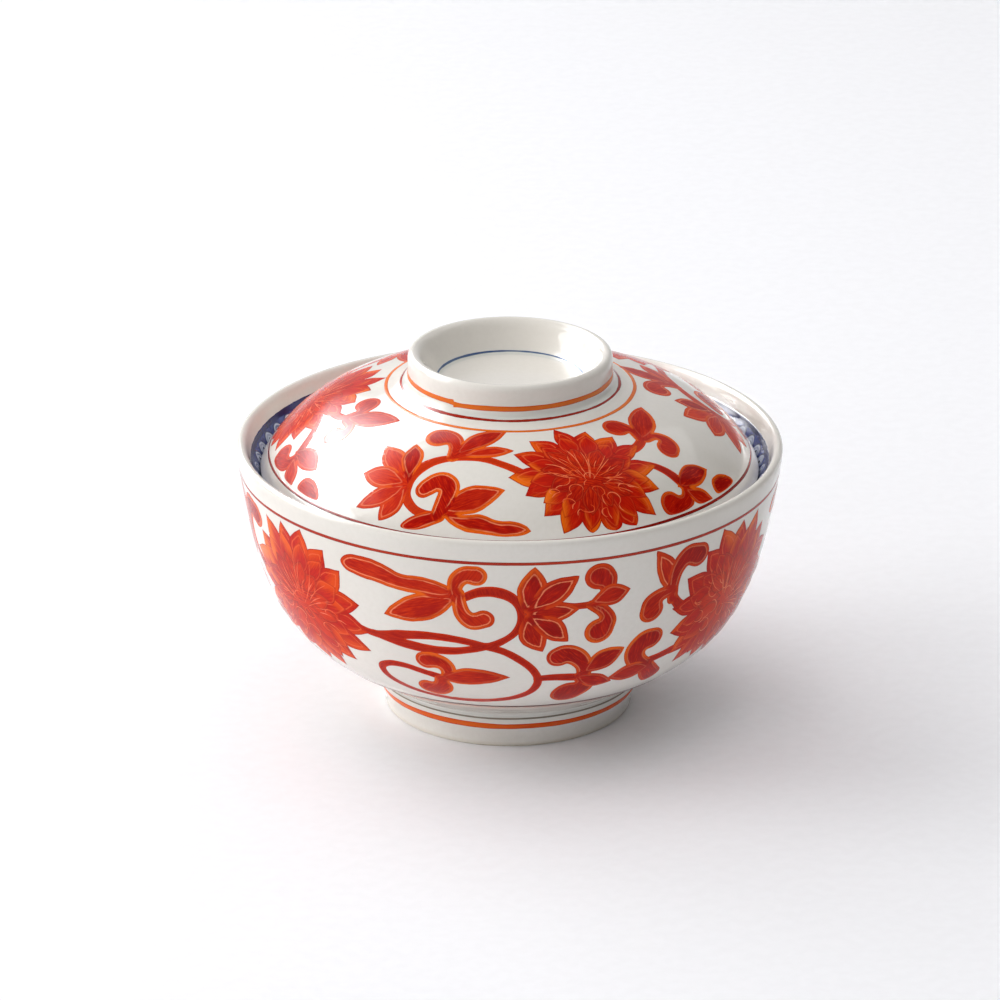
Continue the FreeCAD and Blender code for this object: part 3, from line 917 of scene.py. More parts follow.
def porcelain(name, tint_z=None, biscuit=False, pool_tint_and_shade=()):
    """Clear glossy glaze on white porcelain: soft waviness, rare pinholes and
    specks, glaze pooling greenish where it collects and painted darker there as crease shade."""
    m, nt, b = new_mat(name)
    tc = N(nt, "ShaderNodeTexCoord")
    P = tc.outputs["Object"]
    big = noise(nt, P, 22.0, 2.0)
    fine = noise(nt, P, 900.0, 2.0)
    base = mix(nt, step(nt, big, 0.3, 0.7), srgb(227, 222, 214), srgb(233, 229, 222))
    base = mix(nt, step(nt, fine, 0.30, 0.75, 0.0, 0.25), base, srgb(220, 215, 206))
    # rare iron specks in the body
    vor = N(nt, "ShaderNodeTexVoronoi", feature="F1")
    L(nt, P, vor.inputs["Vector"])
    vor.inputs["Scale"].default_value = 95.0
    speck = step(nt, vor.outputs["Distance"], 0.010, 0.022, 1.0, 0.0)
    pick = step(nt, noise(nt, P, 31.0, 0.0), 0.66, 0.70)
    base = mix(nt, val(nt, "MULTIPLY", val(nt, "MULTIPLY", speck, pick), 0.55), base, srgb(150, 128, 105))
    xyz = N(nt, "ShaderNodeSeparateXYZ")
    L(nt, P, xyz.inputs[0])
    z = xyz.outputs["Z"]
    r = val(nt, "SQRT", val(nt, "ADD", val(nt, "POWER", xyz.outputs["X"], 2.0), val(nt, "POWER", xyz.outputs["Y"], 2.0)))
    # where the glaze collects at a join: a greenish pooling tint, also darker as painted shade in the crease
    for (zc, rc, w, amt) in pool_tint_and_shade:
        d = val(nt, "SQRT", val(nt, "ADD", val(nt, "POWER", val(nt, "SUBTRACT", z, zc * MM), 2.0),
                                val(nt, "POWER", val(nt, "SUBTRACT", r, rc * MM), 2.0)))
        base = mix(nt, step(nt, d, 0.0, w * MM, amt, 0.0), base, srgb(196, 205, 200))
    bump = N(nt, "ShaderNodeBump")
    bump.inputs["Strength"].default_value = 0.12
    bump.inputs["Distance"].default_value = 0.00015
    hsum = val(nt, "ADD", noise(nt, P, 70.0, 1.0), val(nt, "MULTIPLY", noise(nt, P, 420.0, 1.0), 0.10))
    pin = step(nt, vor.outputs["Distance"], 0.0, 0.02, -0.35, 0.0)
    hsum = val(nt, "ADD", hsum, val(nt, "MULTIPLY", pin, pick))
    L(nt, hsum, bump.inputs["Height"])
    glaze_gloss(b)
    b.inputs["Subsurface Weight"].default_value = 0.0
    if biscuit:
        # bare fired clay on the foot's resting face, with a thin rusty glaze edge
        bare = val(nt, "MULTIPLY", step(nt, val(nt, "ADD", z, val(nt, "MULTIPLY", noise(nt, P, 260.0, 2.0), 0.0003)),
                                        0.00050, 0.00062, 1.0, 0.0), 1.0)
        edge = step(nt, z, 0.0005, 0.0014, 0.35, 0.0)
        base = mix(nt, edge, base, srgb(205, 190, 165))
        clay = mix(nt, step(nt, noise(nt, P, 700.0, 4.0), 0.3, 0.7), srgb(214, 204, 188), srgb(228, 221, 208))
        base = mix(nt, bare, base, clay)
        rr = N(nt, "ShaderNodeMapRange")
        L(nt, bare, rr.inputs["Value"])
        rr.inputs["To Min"].default_value = 0.06
        rr.inputs["To Max"].default_value = 0.75
        L(nt, rr.outputs[0], b.inputs["Roughness"])
        bump2 = N(nt, "ShaderNodeBump")
        bump2.inputs["Distance"].default_value = 0.00008
        L(nt, val(nt, "MULTIPLY", bare, 0.6), bump2.inputs["Strength"])
        L(nt, noise(nt, P, 1500.0, 3.0), bump2.inputs["Height"])
        L(nt, bump.outputs[0], bump2.inputs["Normal"])
        L(nt, bump2.outputs[0], b.inputs["Normal"])
    else:
        L(nt, bump.outputs[0], b.inputs["Normal"])
    L(nt, base, b.inputs["Base Color"])
    return m


def iron_red(name):
    """Overglaze iron red: orange at the brush's edge, dark red where it lies thick,
    fine pale lines, streaks along each stroke."""
    m, nt, b = new_mat(name)
    A = [N(nt, "ShaderNodeAttribute", attribute_name=k) for k in ("ea", "eb", "ec")]
    S = []
    for a in A:
        x = N(nt, "ShaderNodeSeparateXYZ")
        L(nt, a.outputs["Vector"], x.inputs[0])
        S.append(x)
    uni = N(nt, "ShaderNodeAttribute", attribute_name="eu").outputs["Fac"]
    own, rim, tip = S[0].outputs
    al, ac, tone = S[1].outputs
    kind, rnd, line = S[2].outputs
    tc = N(nt, "ShaderNodeTexCoord")
    P = tc.outputs["Object"]
    # streaks: noise stretched along the stroke
    cv = N(nt, "ShaderNodeCombineXYZ")
    L(nt, val(nt, "MULTIPLY", al, 0.30), cv.inputs[0])
    L(nt, val(nt, "MULTIPLY", ac, 2.4), cv.inputs[1])
    L(nt, val(nt, "MULTIPLY", rnd, 37.0), cv.inputs[2])
    streak = noise(nt, cv.outputs[0], 1.3, 3.0, 0.6)
    wash = noise(nt, P, 130.0, 3.0, 0.55)
    wash2 = noise(nt, P, 420.0, 2.0, 0.55)
    broad = noise(nt, P, 38.0, 1.0, 0.5)
    # strokes flow into each other at their bases: there only the painted area's own
    # edge counts, further out each lobe keeps its own edge
    part = step(nt, tip, 0.06, 0.36)
    leafy = step(nt, kind, 0.4, 0.6)
    petal = step(nt, kind, 1.4, 1.6)
    part = val(nt, "MULTIPLY", val(nt, "MAXIMUM", part, petal), leafy)
    ed = val(nt, "ADD", val(nt, "MULTIPLY", own, part), val(nt, "MULTIPLY", uni, val(nt, "SUBTRACT", 1.0, part)))
    jit = val(nt, "MULTIPLY", val(nt, "SUBTRACT", wash, 0.5), 0.9)
    jit = val(nt, "ADD", jit, val(nt, "MULTIPLY", val(nt, "SUBTRACT", streak, 0.5), 1.3))
    q = val(nt, "DIVIDE", ed, rim)
    # each lobe has its own share of orange; one side gets more than the other
    side = step(nt, val(nt, "MULTIPLY", ac, val(nt, "SUBTRACT", rnd, 0.5)), -0.8, 0.8, -0.20, 0.20)
    dark = step(nt, val(nt, "ADD", val(nt, "ADD", q, jit), side), 0.18, 1.18)
    # palette
    orange = mix(nt, step(nt, broad, 0.35, 0.65), srgb(*C_ORANGE), srgb(*C_ORANGE2))
    deep = mix(nt, step(nt, val(nt, "ADD", val(nt, "MULTIPLY", wash, 0.5), val(nt, "MULTIPLY", streak, 0.5)), 0.38, 0.60),
               srgb(*C_DEEP), srgb(*C_DEEP2))
    light = mix(nt, step(nt, val(nt, "ADD", val(nt, "MULTIPLY", wash, 0.4), val(nt, "MULTIPLY", streak, 0.6)), 0.38, 0.60),
                srgb(*C_MID), srgb(*C_MID2))
    tonef = step(nt, tone, 0.25, 0.95)
    fill = mix(nt, val(nt, "MULTIPLY", tonef, 0.8), deep, light)
    # the brush's hairs leave lighter and darker streaks in the wash
    fill = mix(nt, step(nt, streak, 0.54, 0.70, 0.0, 0.6), fill, srgb(*C_MID2))
    fill = mix(nt, step(nt, streak, 0.26, 0.42, 0.5, 0.0), fill, srgb(*C_DEEP))
    # stems: even dark red with slightly lighter edges
    stem = mix(nt, step(nt, val(nt, "ADD", ed, val(nt, "MULTIPLY", jit, 0.4)), 0.05, 0.60),
               srgb(*C_MID2), mix(nt, step(nt, streak, 0.35, 0.65), srgb(*C_STEM), srgb(*C_STEM2)))
    stem = mix(nt, val(nt, "MULTIPLY", tonef, 0.85), stem, srgb(*C_ORANGE2))
    rimc = mix(nt, step(nt, broad, 0.35, 0.65), srgb(234, 100, 16), srgb(212, 62, 10))
    col = mix(nt, dark, rimc, fill)
    # petals: an orange wash down one side and at the tip, more in some than in others
    turn = val(nt, "SUBTRACT", val(nt, "MULTIPLY", step(nt, rnd, 0.48, 0.52), 2.0), 1.0)
    wing = step(nt, val(nt, "MULTIPLY", ac, turn), -1.4, 2.0)
    share = val(nt, "ADD", val(nt, "MULTIPLY", wing, 0.55), val(nt, "MULTIPLY", step(nt, tip, 0.40, 1.0), 0.45))
    share = val(nt, "ADD", share, val(nt, "MULTIPLY", val(nt, "SUBTRACT", tone, 0.5), 0.55))
    share = val(nt, "ADD", share, val(nt, "MULTIPLY", jit, 0.35))
    pet = mix(nt, step(nt, share, 0.30, 0.98), mix(nt, step(nt, streak, 0.38, 0.62), srgb(*C_DEEP2), srgb(*C_MID)), orange)
    pet = mix(nt, step(nt, tip, 0.30, 0.62, 0.75, 0.0), pet, srgb(*C_DEEP2))
    col = mix(nt, petal, col, pet)
    # flower interior (kind >= 3): patchy, no orange rim
    patch = step(nt, val(nt, "ADD", val(nt, "MULTIPLY", broad, 0.45), val(nt, "MULTIPLY", streak, 0.55)), 0.40, 0.60)
    inner = mix(nt, patch, mix(nt, streak, srgb(*C_DEEP), srgb(*C_DEEP2)),
                mix(nt, streak, srgb(*C_MID), srgb(*C_MID2)))
    inner = mix(nt, step(nt, own, 0.05, 0.9, 0.6, 0.0), inner, srgb(*C_DEEP))
    col = mix(nt, step(nt, kind, 2.4, 2.9), col, inner)
    col = mix(nt, leafy, stem, col)
    # pale line just inside the rim, broken up, fading towards the base
    lw = val(nt, "ABSOLUTE", val(nt, "SUBTRACT", own, val(nt, "MULTIPLY", rim, val(nt, "ADD", 0.95, val(nt, "MULTIPLY", jit, 0.28)))))
    lm = step(nt, lw, 0.06, 0.22, 1.0, 0.0)
    lm = val(nt, "MULTIPLY", lm, step(nt, val(nt, "ADD", val(nt, "MULTIPLY", wash, 0.55), val(nt, "MULTIPLY", broad, 0.45)), 0.36, 0.50, 0.12, 1.0))
    lm = val(nt, "MULTIPLY", lm, step(nt, tip, 0.02, 0.18))
    lm = val(nt, "MULTIPLY", lm, line)
    paint = mix(nt, petal, srgb(*C_PALE), srgb(240, 112, 62))
    col = mix(nt, val(nt, "MULTIPLY", lm, 0.68), col, paint)
    # hair lines (kind 4)
    hair = mix(nt, step(nt, wash2, 0.35, 0.65, 0.0, 0.7), srgb(226, 84, 34), srgb(*C_PALE))
    hair = mix(nt, val(nt, "MULTIPLY", tone, 0.45), hair, srgb(*C_MID2))
    col = mix(nt, step(nt, kind, 3.7, 3.9), col, hair)
    # thin darker outermost edge where the enamel runs out
    edge = step(nt, val(nt, "ADD", uni, val(nt, "MULTIPLY", val(nt, "SUBTRACT", wash, 0.5), 0.25)), 0.04, 0.36, 1.0, 0.0)
    hold = val(nt, "MAXIMUM", step(nt, val(nt, "ADD", broad, val(nt, "MULTIPLY", wash, 0.3)), 0.48, 0.75, 0.25, 1.0),
               val(nt, "MULTIPLY", petal, 0.9))
    col = mix(nt, val(nt, "MULTIPLY", val(nt, "MULTIPLY", edge, hold), 0.8), col, srgb(*C_STEM))
    # petals of one blossom are told apart by a thin dark edge
    own_edge = val(nt, "MULTIPLY", step(nt, own, 0.03, 0.26, 0.6, 0.0), petal)
    col = mix(nt, val(nt, "MULTIPLY", own_edge, step(nt, kind, 3.4, 3.6, 1.0, 0.0)), col, srgb(*C_STEM))
    L(nt, col, b.inputs["Base Color"])
    bump = N(nt, "ShaderNodeBump")
    bump.inputs["Strength"].default_value = 0.25
    bump.inputs["Distance"].default_value = 0.00006
    L(nt, val(nt, "ADD", val(nt, "MULTIPLY", streak, 0.7), val(nt, "MULTIPLY", wash2, 0.4)), bump.inputs["Height"])
    L(nt, bump.outputs[0], b.inputs["Normal"])
    b.inputs["Roughness"].default_value = 0.14
    b.inputs["IOR"].default_value = 1.52
    b.inputs["Specular IOR Level"].default_value = 0.10
    return m


def brush_line(name, c_mid, c_edge, c_alt, rough=0.14):
    """A thin brushed line: denser at its edges or middle, uneven along its length."""
    m, nt, b = new_mat(name)
    ac = N(nt, "ShaderNodeAttribute", attribute_name="across").outputs["Fac"]
    P = N(nt, "ShaderNodeTexCoord").outputs["Object"]
    wash = noise(nt, P, 160.0, 3.0, 0.6)
    broad = noise(nt, P, 45.0, 2.0, 0.5)
    e = val(nt, "ADD", val(nt, "ABSOLUTE", ac), val(nt, "MULTIPLY", val(nt, "SUBTRACT", wash, 0.5), 0.6))
    col = mix(nt, step(nt, broad, 0.35, 0.65), c_mid, c_alt)
    col = mix(nt, step(nt, e, 0.45, 1.0), col, c_edge)
    L(nt, col, b.inputs["Base Color"])
    bump = N(nt, "ShaderNodeBump")
    bump.inputs["Strength"].default_value = 0.2
    bump.inputs["Distance"].default_value = 0.00005
    L(nt, wash, bump.inputs["Height"])
    L(nt, bump.outputs[0], b.inputs["Normal"])
    glaze_gloss(b, rough)
    b.inputs["Specular IOR Level"].default_value = 0.22
    return m


# =============================================================================
# the turned surfaces that carry the painting
# =============================================================================
OUTER = Profile([(62.5, 63.3), (62.46, 62.5), (62.2, 60.6), (61.5, 56.0), (60.3, 49.0), (58.6, 41.0), (56.0, 33.0),
                 (52.5, 26.0), (47.4, 20.0), (40.6, 15.0), (33.9, 11.0), (31.4, 9.4)], ["bowl_body"])
INNER = Profile([(60.2, 63.4), (59.8, 62.4), (59.4, 61.2), (58.35, 59.3), (57.15, 57.3), (56.75, 55.0), (56.0, 49.5),
                 (54.7, 41.5), (52.1, 33.8), (48.4, 27.0), (43.2, 21.2), (36.0, 16.6), (26.5, 13.8)], ["bowl_body"])
LIDTOP = Profile([(24.1, 79.2), (24.9, 78.55), (26.4, 77.95), (28.3, 77.42), (34.0, 76.02), (40.0, 73.95),
                  (46.0, 70.70), (51.0, 66.60), (53.4, 64.0), (55.4, 61.45), (56.65, 59.6), (57.05, 58.75),
                  (57.15, 58.3)], ["lid_shell"])
KNOB = Profile([(23.42, 84.0), (23.38, 82.6), (23.42, 81.0), (23.65, 79.9), (24.1, 79.2)], ["lid_ring_knob"])
RECESS = Profile([(20.3, 84.85), (19.35, 83.3), (18.3, 81.7), (17.25, 80.2), (16.2, 79.2)], ["lid_ring_knob"])
FOOT = Profile([(30.5, 8.2), (30.05, 6.2), (29.35, 4.2), (28.7, 2.2), (28.55, 0.75)], ["bowl_foot_ring"])
for nm, pr, inward in (("OUTER", OUTER, 1), ("INNER", INNER, -1), ("LIDTOP", LIDTOP, 1), ("KNOB", KNOB, 1),
                       ("RECESS", RECESS, -1), ("FOOT", FOOT, 1)):
    k = len(pr.s) // 2
    if pr.n[k, 0] * inward < 0:
        pr.n = -pr.n

R_BOWL = 58.0
BAY0, BAY1 = -54.0, 58.6        # flower centres either side of the front bay, in u
GAP = BAY1 - BAY0
ROUND = 2 * math.pi * R_BOWL
REST = (ROUND - GAP) / 2        # the other two bays are a little wider


def bowl_place(bay):
    """Front bay as drawn; the other two stretched to fill the round."""
    k = 1.0 if bay == 0 else REST / GAP
    off = 0.0 if bay == 0 else (BAY1 - BAY0 * k if bay == 1 else BAY1 + REST - BAY0 * k)

    def f(V2, h):
        u, v = V2[:, 0], V2[:, 1]
        if bay:
            u = u + 0.7 * np.sin(v * 0.16 + bay * 2.1) + 0.5 * np.sin(u * 0.11 + bay)
            v = v + 0.45 * np.sin(u * 0.13 + bay * 1.7) * smooth(v, 4, 12) * (1 - smooth(v, 40, 48))
        return OUTER.place((u * k + off) / R_BOWL, v, h)
    return f


def flower_place(which):
    uc = (BAY0, BAY1, BAY1 + REST)[which]
    rot = (0.0, 0.9, 2.0)[which]

    def f(V2, h):
        x, y = V2[:, 0], V2[:, 1] - 24.0
        c, s = math.cos(rot), math.sin(rot)
        X, Y = c * x - s * y, s * x + c * y
        v = Y + 24.0
        r = OUTER.at(v)[0]
        return OUTER.place(uc / R_BOWL + X / r, v, h)
    return f


def lid_place(k):
    rot = (0.0, math.radians(121.0), math.radians(-120.5))[k]

    def f(V2, h):
        x, y = V2[:, 0], V2[:, 1]
        if k:
            x = x + 0.45 * np.sin(y * 0.13 + k * 2.0)
            y = y + 0.35 * np.sin(x * 0.12 + k)
        rho = np.hypot(x, y)
        az = np.arctan2(x, -y) + rot
        s = rho - 24.1
        lim = LIDTOP.s_at_r(54.9) - 1.6
        s = np.where(s > lim, lim + 1.6 * (1 - np.exp(-np.clip(s - lim, 0, 50) / 1.6)), s)
        return LIDTOP.place(az, s, h)
    return f


RED = iron_red("iron_red_enamel")
bay = Drawing(bowl_bay())
flo = Drawing(bowl_flower())
lid3 = Drawing(lid_third())
for i in range(3):
    enamel("bowl_scroll_%d" % (i + 1), bay, bowl_place(i), "bowl", RED)
    # the three flower copies differ in tone: the left one more orange, the right one darker as painted shade on the
    # bowl's shaded right side
    enamel("bowl_flower_%d" % (i + 1), flo, flower_place(i), "bowl", RED, shift=(0.35, -0.30, 0.0)[i])
    enamel("lid_scroll_%d" % (i + 1), lid3, lid_place(i), "lid", RED)

# ---- brushed lines ---------------------------------------------------------------
LINE_RED = brush_line("line_iron_red", srgb(168, 34, 10), srgb(146, 36, 16), srgb(182, 48, 14))
LINE_DARK = brush_line("line_dark_red", srgb(150, 22, 8), srgb(120, 28, 16), srgb(162, 38, 16))
# the lid's edge line: a real red line, painted darker maroon and wider as painted shadow of the gap between lid and
# bowl rim
LINE_EDGE_AND_GAP_SHADE = brush_line("line_red_and_gap_shade", srgb(134, 16, 8), srgb(108, 22, 14), srgb(150, 28, 12))
LINE_LOW = brush_line("line_brown_red", srgb(84, 14, 6), srgb(76, 20, 12), srgb(100, 18, 8))
LINE_ORANGE = brush_line("line_orange", srgb(232, 124, 28), srgb(208, 84, 16), srgb(222, 102, 20))
ring_line("bowl_line_under_lip", OUTER, OUTER.s_at_z(59.2), 0.76, "bowl", LINE_RED, 21, wob=0.10)
ring_line("bowl_line_low", OUTER, OUTER.s_at_z(16.4), 1.5, "bowl", LINE_LOW, 22, wob=0.12)
# painted shade: thin grey-brown lines at the ridge and the crease where the bowl's underside meets the foot, standing
# in for the shade that falls there
CREASE_SHADE_LINE = brush_line("painted_crease_shade", srgb(136, 126, 112), srgb(158, 148, 134), srgb(122, 112, 98))
ring_line("bowl_crease_shade_upper", OUTER, OUTER.s_at_z(10.7), 0.40, "bowl", CREASE_SHADE_LINE, 28, wob=0.08, thick=0.03)
ring_line("foot_crease_shade", FOOT, FOOT.s_at_z(7.85), 0.46, "bowl", CREASE_SHADE_LINE, 29, wob=0.05, thick=0.03)
ring_line("foot_line", FOOT, FOOT.s_at_z(5.6), 1.5, "bowl",
          brush_line("line_foot", srgb(230, 98, 16), srgb(206, 62, 8), srgb(222, 82, 12)), 23, wob=0.14)
# its dark maroon colour and width are partly painted shadow of the gap under the bowl's rim
ring_line("lid_line_edge", LIDTOP, LIDTOP.s_at_r(55.2), 0.62, "lid", LINE_EDGE_AND_GAP_SHADE, 24, wob=0.10)
ring_line("lid_line_orange", LIDTOP, LIDTOP.s_at_r(28.4), 0.82, "lid", LINE_ORANGE, 25, wob=0.12)
ring_line("lid_line_knob_root", LIDTOP, LIDTOP.s_at_r(24.9), 0.75, "lid", LINE_DARK, 26, wob=0.12, vary=0.3)
ring_line("knob_line_orange", KNOB, KNOB.s_at_z(81.0), 1.15, "lid", LINE_ORANGE, 27, wob=0.10,
          gap=(math.radians(-33), 0.45))

# ---- cobalt blue under the glaze: band inside the lip, ring in the knob's recess ---
def cobalt_band(name, width, cells):
    """Solid border, then a row of upright ovals with a dot, loosely painted."""
    m, nt, b = new_mat(name)
    P = N(nt, "ShaderNodeTexCoord").outputs["Object"]
    xyz = N(nt, "ShaderNodeSeparateXYZ")
    L(nt, P, xyz.inputs[0])
    ang = val(nt, "ARCTAN2", xyz.outputs["X"], xyz.outputs["Y"])
    wob = noise(nt, P, 260.0, 2.0)
    wob2 = noise(nt, P, 120.0, 2.0)
    wash = noise(nt, P, 520.0, 3.0, 0.6)
    u = val(nt, "ADD", val(nt, "MULTIPLY", ang, cells / (2 * math.pi)), val(nt, "MULTIPLY", val(nt, "SUBTRACT", wob2, 0.5), 0.22))
    ac = N(nt, "ShaderNodeAttribute", attribute_name="across").outputs["Fac"]
    v = val(nt, "MULTIPLY", val(nt, "ADD", ac, 1.0), width / 2)
    v = val(nt, "ADD", v, val(nt, "MULTIPLY", val(nt, "SUBTRACT", wob, 0.5), 0.4))
    fu = val(nt, "SUBTRACT", val(nt, "FRACT", u), 0.5)
    pitch = 2 * math.pi * 57.5 / cells
    x = val(nt, "MULTIPLY", fu, pitch)

    def oval(cx, cy, rx, ry, jitter):
        e = val(nt, "ADD", val(nt, "POWER", val(nt, "DIVIDE", val(nt, "ABSOLUTE", val(nt, "SUBTRACT", x, cx)), rx), 2.0),
                val(nt, "POWER", val(nt, "DIVIDE", val(nt, "ABSOLUTE", val(nt, "SUBTRACT", v, cy)), ry), 2.0))
        return val(nt, "ADD", val(nt, "SQRT", e), val(nt, "MULTIPLY", val(nt, "SUBTRACT", wob, 0.5), jitter))

    e = oval(0.0, 4.6, pitch * 0.44, 3.1, 0.35)
    paper = mix(nt, wash, srgb(176, 184, 206), srgb(212, 216, 228))
    blue = mix(nt, step(nt, wash, 0.3, 0.7), srgb(38, 48, 114), srgb(72, 86, 152))
    dark = mix(nt, step(nt, wob2, 0.35, 0.65), srgb(22, 28, 78), srgb(38, 48, 112))
    # leaf strokes inside each oval: two leaning strokes and a dot
    col = mix(nt, step(nt, e, 0.84, 1.0), paper, blue)
    ring = step(nt, val(nt, "ABSOLUTE", val(nt, "SUBTRACT", e, 0.66)), 0.05, 0.11, 0.75, 0.0)
    col = mix(nt, val(nt, "MULTIPLY", ring, step(nt, wob2, 0.38, 0.55)), col, blue)
    col = mix(nt, step(nt, oval(0.05, 3.9, 0.62, 0.8, 0.6), 0.75, 1.05, 1.0, 0.0), col, dark)
    lean = val(nt, "ABSOLUTE", val(nt, "SUBTRACT", val(nt, "ABSOLUTE", x), val(nt, "MULTIPLY", val(nt, "SUBTRACT", v, 4.2), 0.42)))
    stroke_m = val(nt, "MULTIPLY", step(nt, lean, 0.10, 0.26, 0.8, 0.0), step(nt, v, 4.3, 4.9))
    stroke_m = val(nt, "MULTIPLY", stroke_m, step(nt, e, 0.75, 0.95, 1.0, 0.0))
    col = mix(nt, stroke_m, col, blue)
    # outlines between the ovals, and the two borders
    col = mix(nt, step(nt, val(nt, "ABSOLUTE", val(nt, "SUBTRACT", e, 0.95)), 0.04, 0.12, 0.85, 0.0), col, dark)
    col = mix(nt, step(nt, v, 1.25, 1.65, 1.0, 0.0), col, dark)
    col = mix(nt, step(nt, v, 7.7, 7.95), col, paper)
    col = mix(nt, step(nt, val(nt, "ABSOLUTE", val(nt, "SUBTRACT", v, 8.5)), 0.16, 0.32, 0.9, 0.0), col, blue)
    L(nt, col, b.inputs["Base Color"])
    glaze_gloss(b)
    return m


BAND = 9.0
ring_line("cobalt_band_inside", INNER, INNER.s_at_z(61.15) + BAND / 2, BAND, "bowl",
          cobalt_band("cobalt_band", BAND, 60), 31, thick=0.075, wob=0.04, vary=0.004, cuts=40)
ring_line("cobalt_ring_knob", RECESS, RECESS.s_at_r(16.75), 0.50, "lid",
          brush_line("cobalt_line", srgb(96, 114, 144), srgb(136, 150, 170), srgb(66, 86, 128)), 32,
          thick=0.06, wob=0.05, vary=0.35)

# ---- materials of the porcelain itself ---------------------------------------------
# the pool spots sit at the foot join, the knob root and the recess floor; their darkening there is painted crease shade
glz = {
    "bowl_body": porcelain("porcelain_bowl", pool_tint_and_shade=((8.9, 30.9, 1.6, 0.35),)),
    "bowl_foot_ring": porcelain("porcelain_foot", biscuit=True, pool_tint_and_shade=((8.2, 30.5, 1.2, 0.35),)),
    "lid_shell": porcelain("porcelain_lid", pool_tint_and_shade=((79.0, 24.3, 1.6, 0.35), (79.2, 16.2, 1.3, 0.35))),
    "lid_ring_knob": porcelain("porcelain_knob", pool_tint_and_shade=((79.4, 24.1, 1.1, 0.3), (79.3, 16.2, 1.6, 0.35))),
}
for name, mat in glz.items():
    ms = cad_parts[name].data.materials
    for i in range(len(ms)):
        ms[i] = mat

# =============================================================================
# floor, light, camera
# =============================================================================
sc = bpy.context.scene
sc.view_settings.view_transform = "Standard"
sc.view_settings.look = "None"
sc.view_settings.exposure = 0.0
sc.view_settings.gamma = 1.0


def make_floor():
    me = bpy.data.meshes.new("floor")
    x0, x1, y0, y1 = -1.6, 1.6, -1.8, 1.3
    r, top = 0.5, 1.6
    prof = [(y0, 0.0), (y1, 0.0)]
    for k in range(1, 17):
        a = math.pi / 2 * k / 16
        prof.append((y1 + r * math.sin(a), r - r * math.cos(a)))
    prof.append((y1 + r, top))
    v, f = [], []
    for y, z in prof:
        v += [(x0, y, z), (x1, y, z)]
    for i in range(len(prof) - 1):
        f.append((2 * i, 2 * i + 1, 2 * i + 3, 2 * i + 2))
    me.from_pydata(v, [], f)
    me.polygons.foreach_set("use_smooth", np.ones(len(f), bool))
    m, nt, b = new_mat("floor_paper")
    P = N(nt, "ShaderNodeTexCoord").outputs["Object"]
    c = mix(nt, step(nt, noise(nt, P, 300.0, 3.0), 0.3, 0.7), srgb(247, 247, 250), srgb(250, 250, 253))
    L(nt, c, b.inputs["Base Color"])
    b.inputs["Roughness"].default_value = 0.9
    b.inputs["Specular IOR Level"].default_value = 0.15
    me.materials.append(m)
    ob = bpy.data.objects.new("floor", me)
    sc.collection.objects.link(ob)


make_floor()


def area(name, loc, target, size, size_y, power, color=(1, 1, 1), spread=180.0):
    l = bpy.data.lights.new(name, "AREA")
    l.shape = "RECTANGLE"
    l.size, l.size_y = size, size_y
    l.energy = power
    l.color = color
    l.spread = math.radians(spread)
    o = bpy.data.objects.new(name, l)
    o.location = loc
    o.rotation_euler = (Vector(target) - Vector(loc)).to_track_quat("-Z", "Y").to_euler()
    sc.collection.objects.link(o)
    return o


world = bpy.data.worlds.new("studio")
world.use_nodes = True
wnt = world.node_tree
# the room is dimmer low down on the right and towards the camera
wd = N(wnt, "ShaderNodeVectorMath", operation="DOT_PRODUCT")
L(wnt, N(wnt, "ShaderNodeTexCoord").outputs["Generated"], wd.inputs[0])
wd.inputs[1].default_value = (0.86, -0.34, -0.37)
dim = step(wnt, wd.outputs["Value"], -0.35, 0.62)
fill = val(wnt, "SUBTRACT", 0.53, val(wnt, "MULTIPLY", dim, 0.43))
glossy = N(wnt, "ShaderNodeLightPath").outputs["Is Glossy Ray"]
fill = val(wnt, "MULTIPLY", fill, val(wnt, "SUBTRACT", 1.0, val(wnt, "MULTIPLY", glossy, 0.65)))
wnt.nodes["Background"].inputs[0].default_value = (1.0, 1.0, 1.0, 1.0)
L(wnt, fill, wnt.nodes["Background"].inputs[1])
sc.world = world

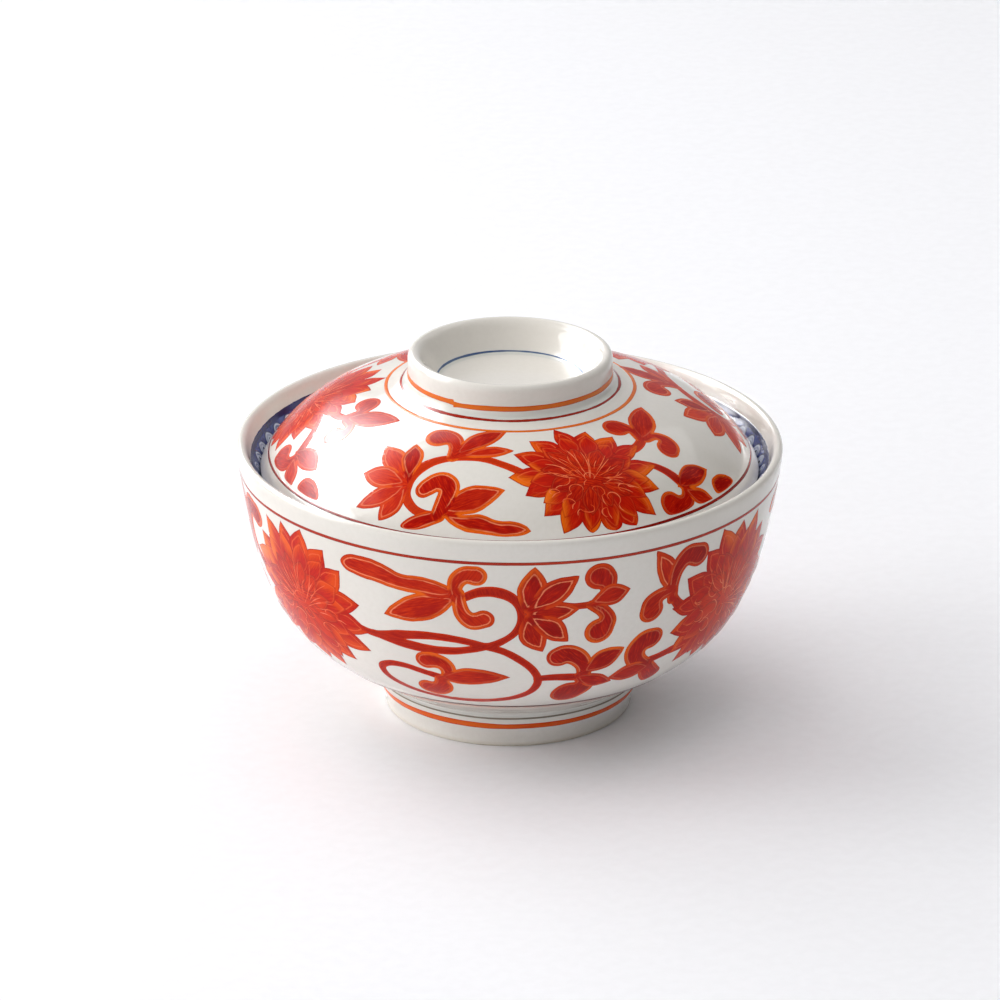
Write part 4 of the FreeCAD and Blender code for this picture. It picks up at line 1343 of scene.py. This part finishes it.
for az, el, watts in ((270, 20, 7.1), (225, 20, 1.5), (315, 20, 2.7), (315, 45, 1.6), (270, 45, 1.17), (270, 70, 0.63),
                      (180, 70, 1.70), (90, 70, 1.0), (45, 45, 0.86), (0, 90, 1.00), (0, 70, 0.52)):
    # az 0 is behind the object, 270 its left, 180 the camera's side
    a, e = math.radians(az), math.radians(el)
    d = Vector((math.sin(a) * math.cos(e), math.cos(a) * math.cos(e), math.sin(e)))
    o = area("soft_%d_%d" % (az, el), tuple(d * 1.3 + Vector((0, 0, 0.05))), (0, 0, 0.05), 0.7, 0.7, watts)
    if el >= 70:
        o.visible_glossy = False

# the studio window: seen in the glaze only, so the soft lights above set the exposure
for k, (w_, h_, watts) in enumerate(((1.80, 1.00, 12.0), (1.52, 0.82, 16.5), (1.26, 0.64, 20.0), (1.00, 0.46, 15.5), (0.74, 0.30, 8.0))):
    a, e = math.radians(-52), math.radians(36)
    d = Vector((math.sin(a) * math.cos(e), math.cos(a) * math.cos(e), math.sin(e)))
    o = area("window_%d" % (k + 1), tuple(d * (1.3 + 0.02 * k) + Vector((0, 0, 0.06))), (0, 0, 0.06), w_, h_, watts,
             (0.97, 0.98, 1.0))
    o.visible_diffuse = False

cam_data = bpy.data.cameras.new("camera")
cam_data.sensor_width = 36.0
cam_data.lens = 5998.1 / 1000 * 36.0
cam_data.clip_start = 0.05
cam = bpy.data.objects.new("camera", cam_data)
sc.collection.objects.link(cam)
yaw, pitch, roll = -0.0017, 0.3855, 0.0052
f = Vector((math.sin(yaw) * math.cos(pitch), math.cos(yaw) * math.cos(pitch), -math.sin(pitch)))
r0 = Vector((math.cos(yaw), -math.sin(yaw), 0.0))
u0 = r0.cross(f)
R = math.cos(roll) * r0 + math.sin(roll) * u0
U = -math.sin(roll) * r0 + math.cos(roll) * u0
from mathutils import Matrix
cam.matrix_world = Matrix(((R.x, U.x, -f.x, 0.0), (R.y, U.y, -f.y, -1.27789), (R.z, U.z, -f.z, 0.56787), (0, 0, 0, 1)))
sc.camera = cam
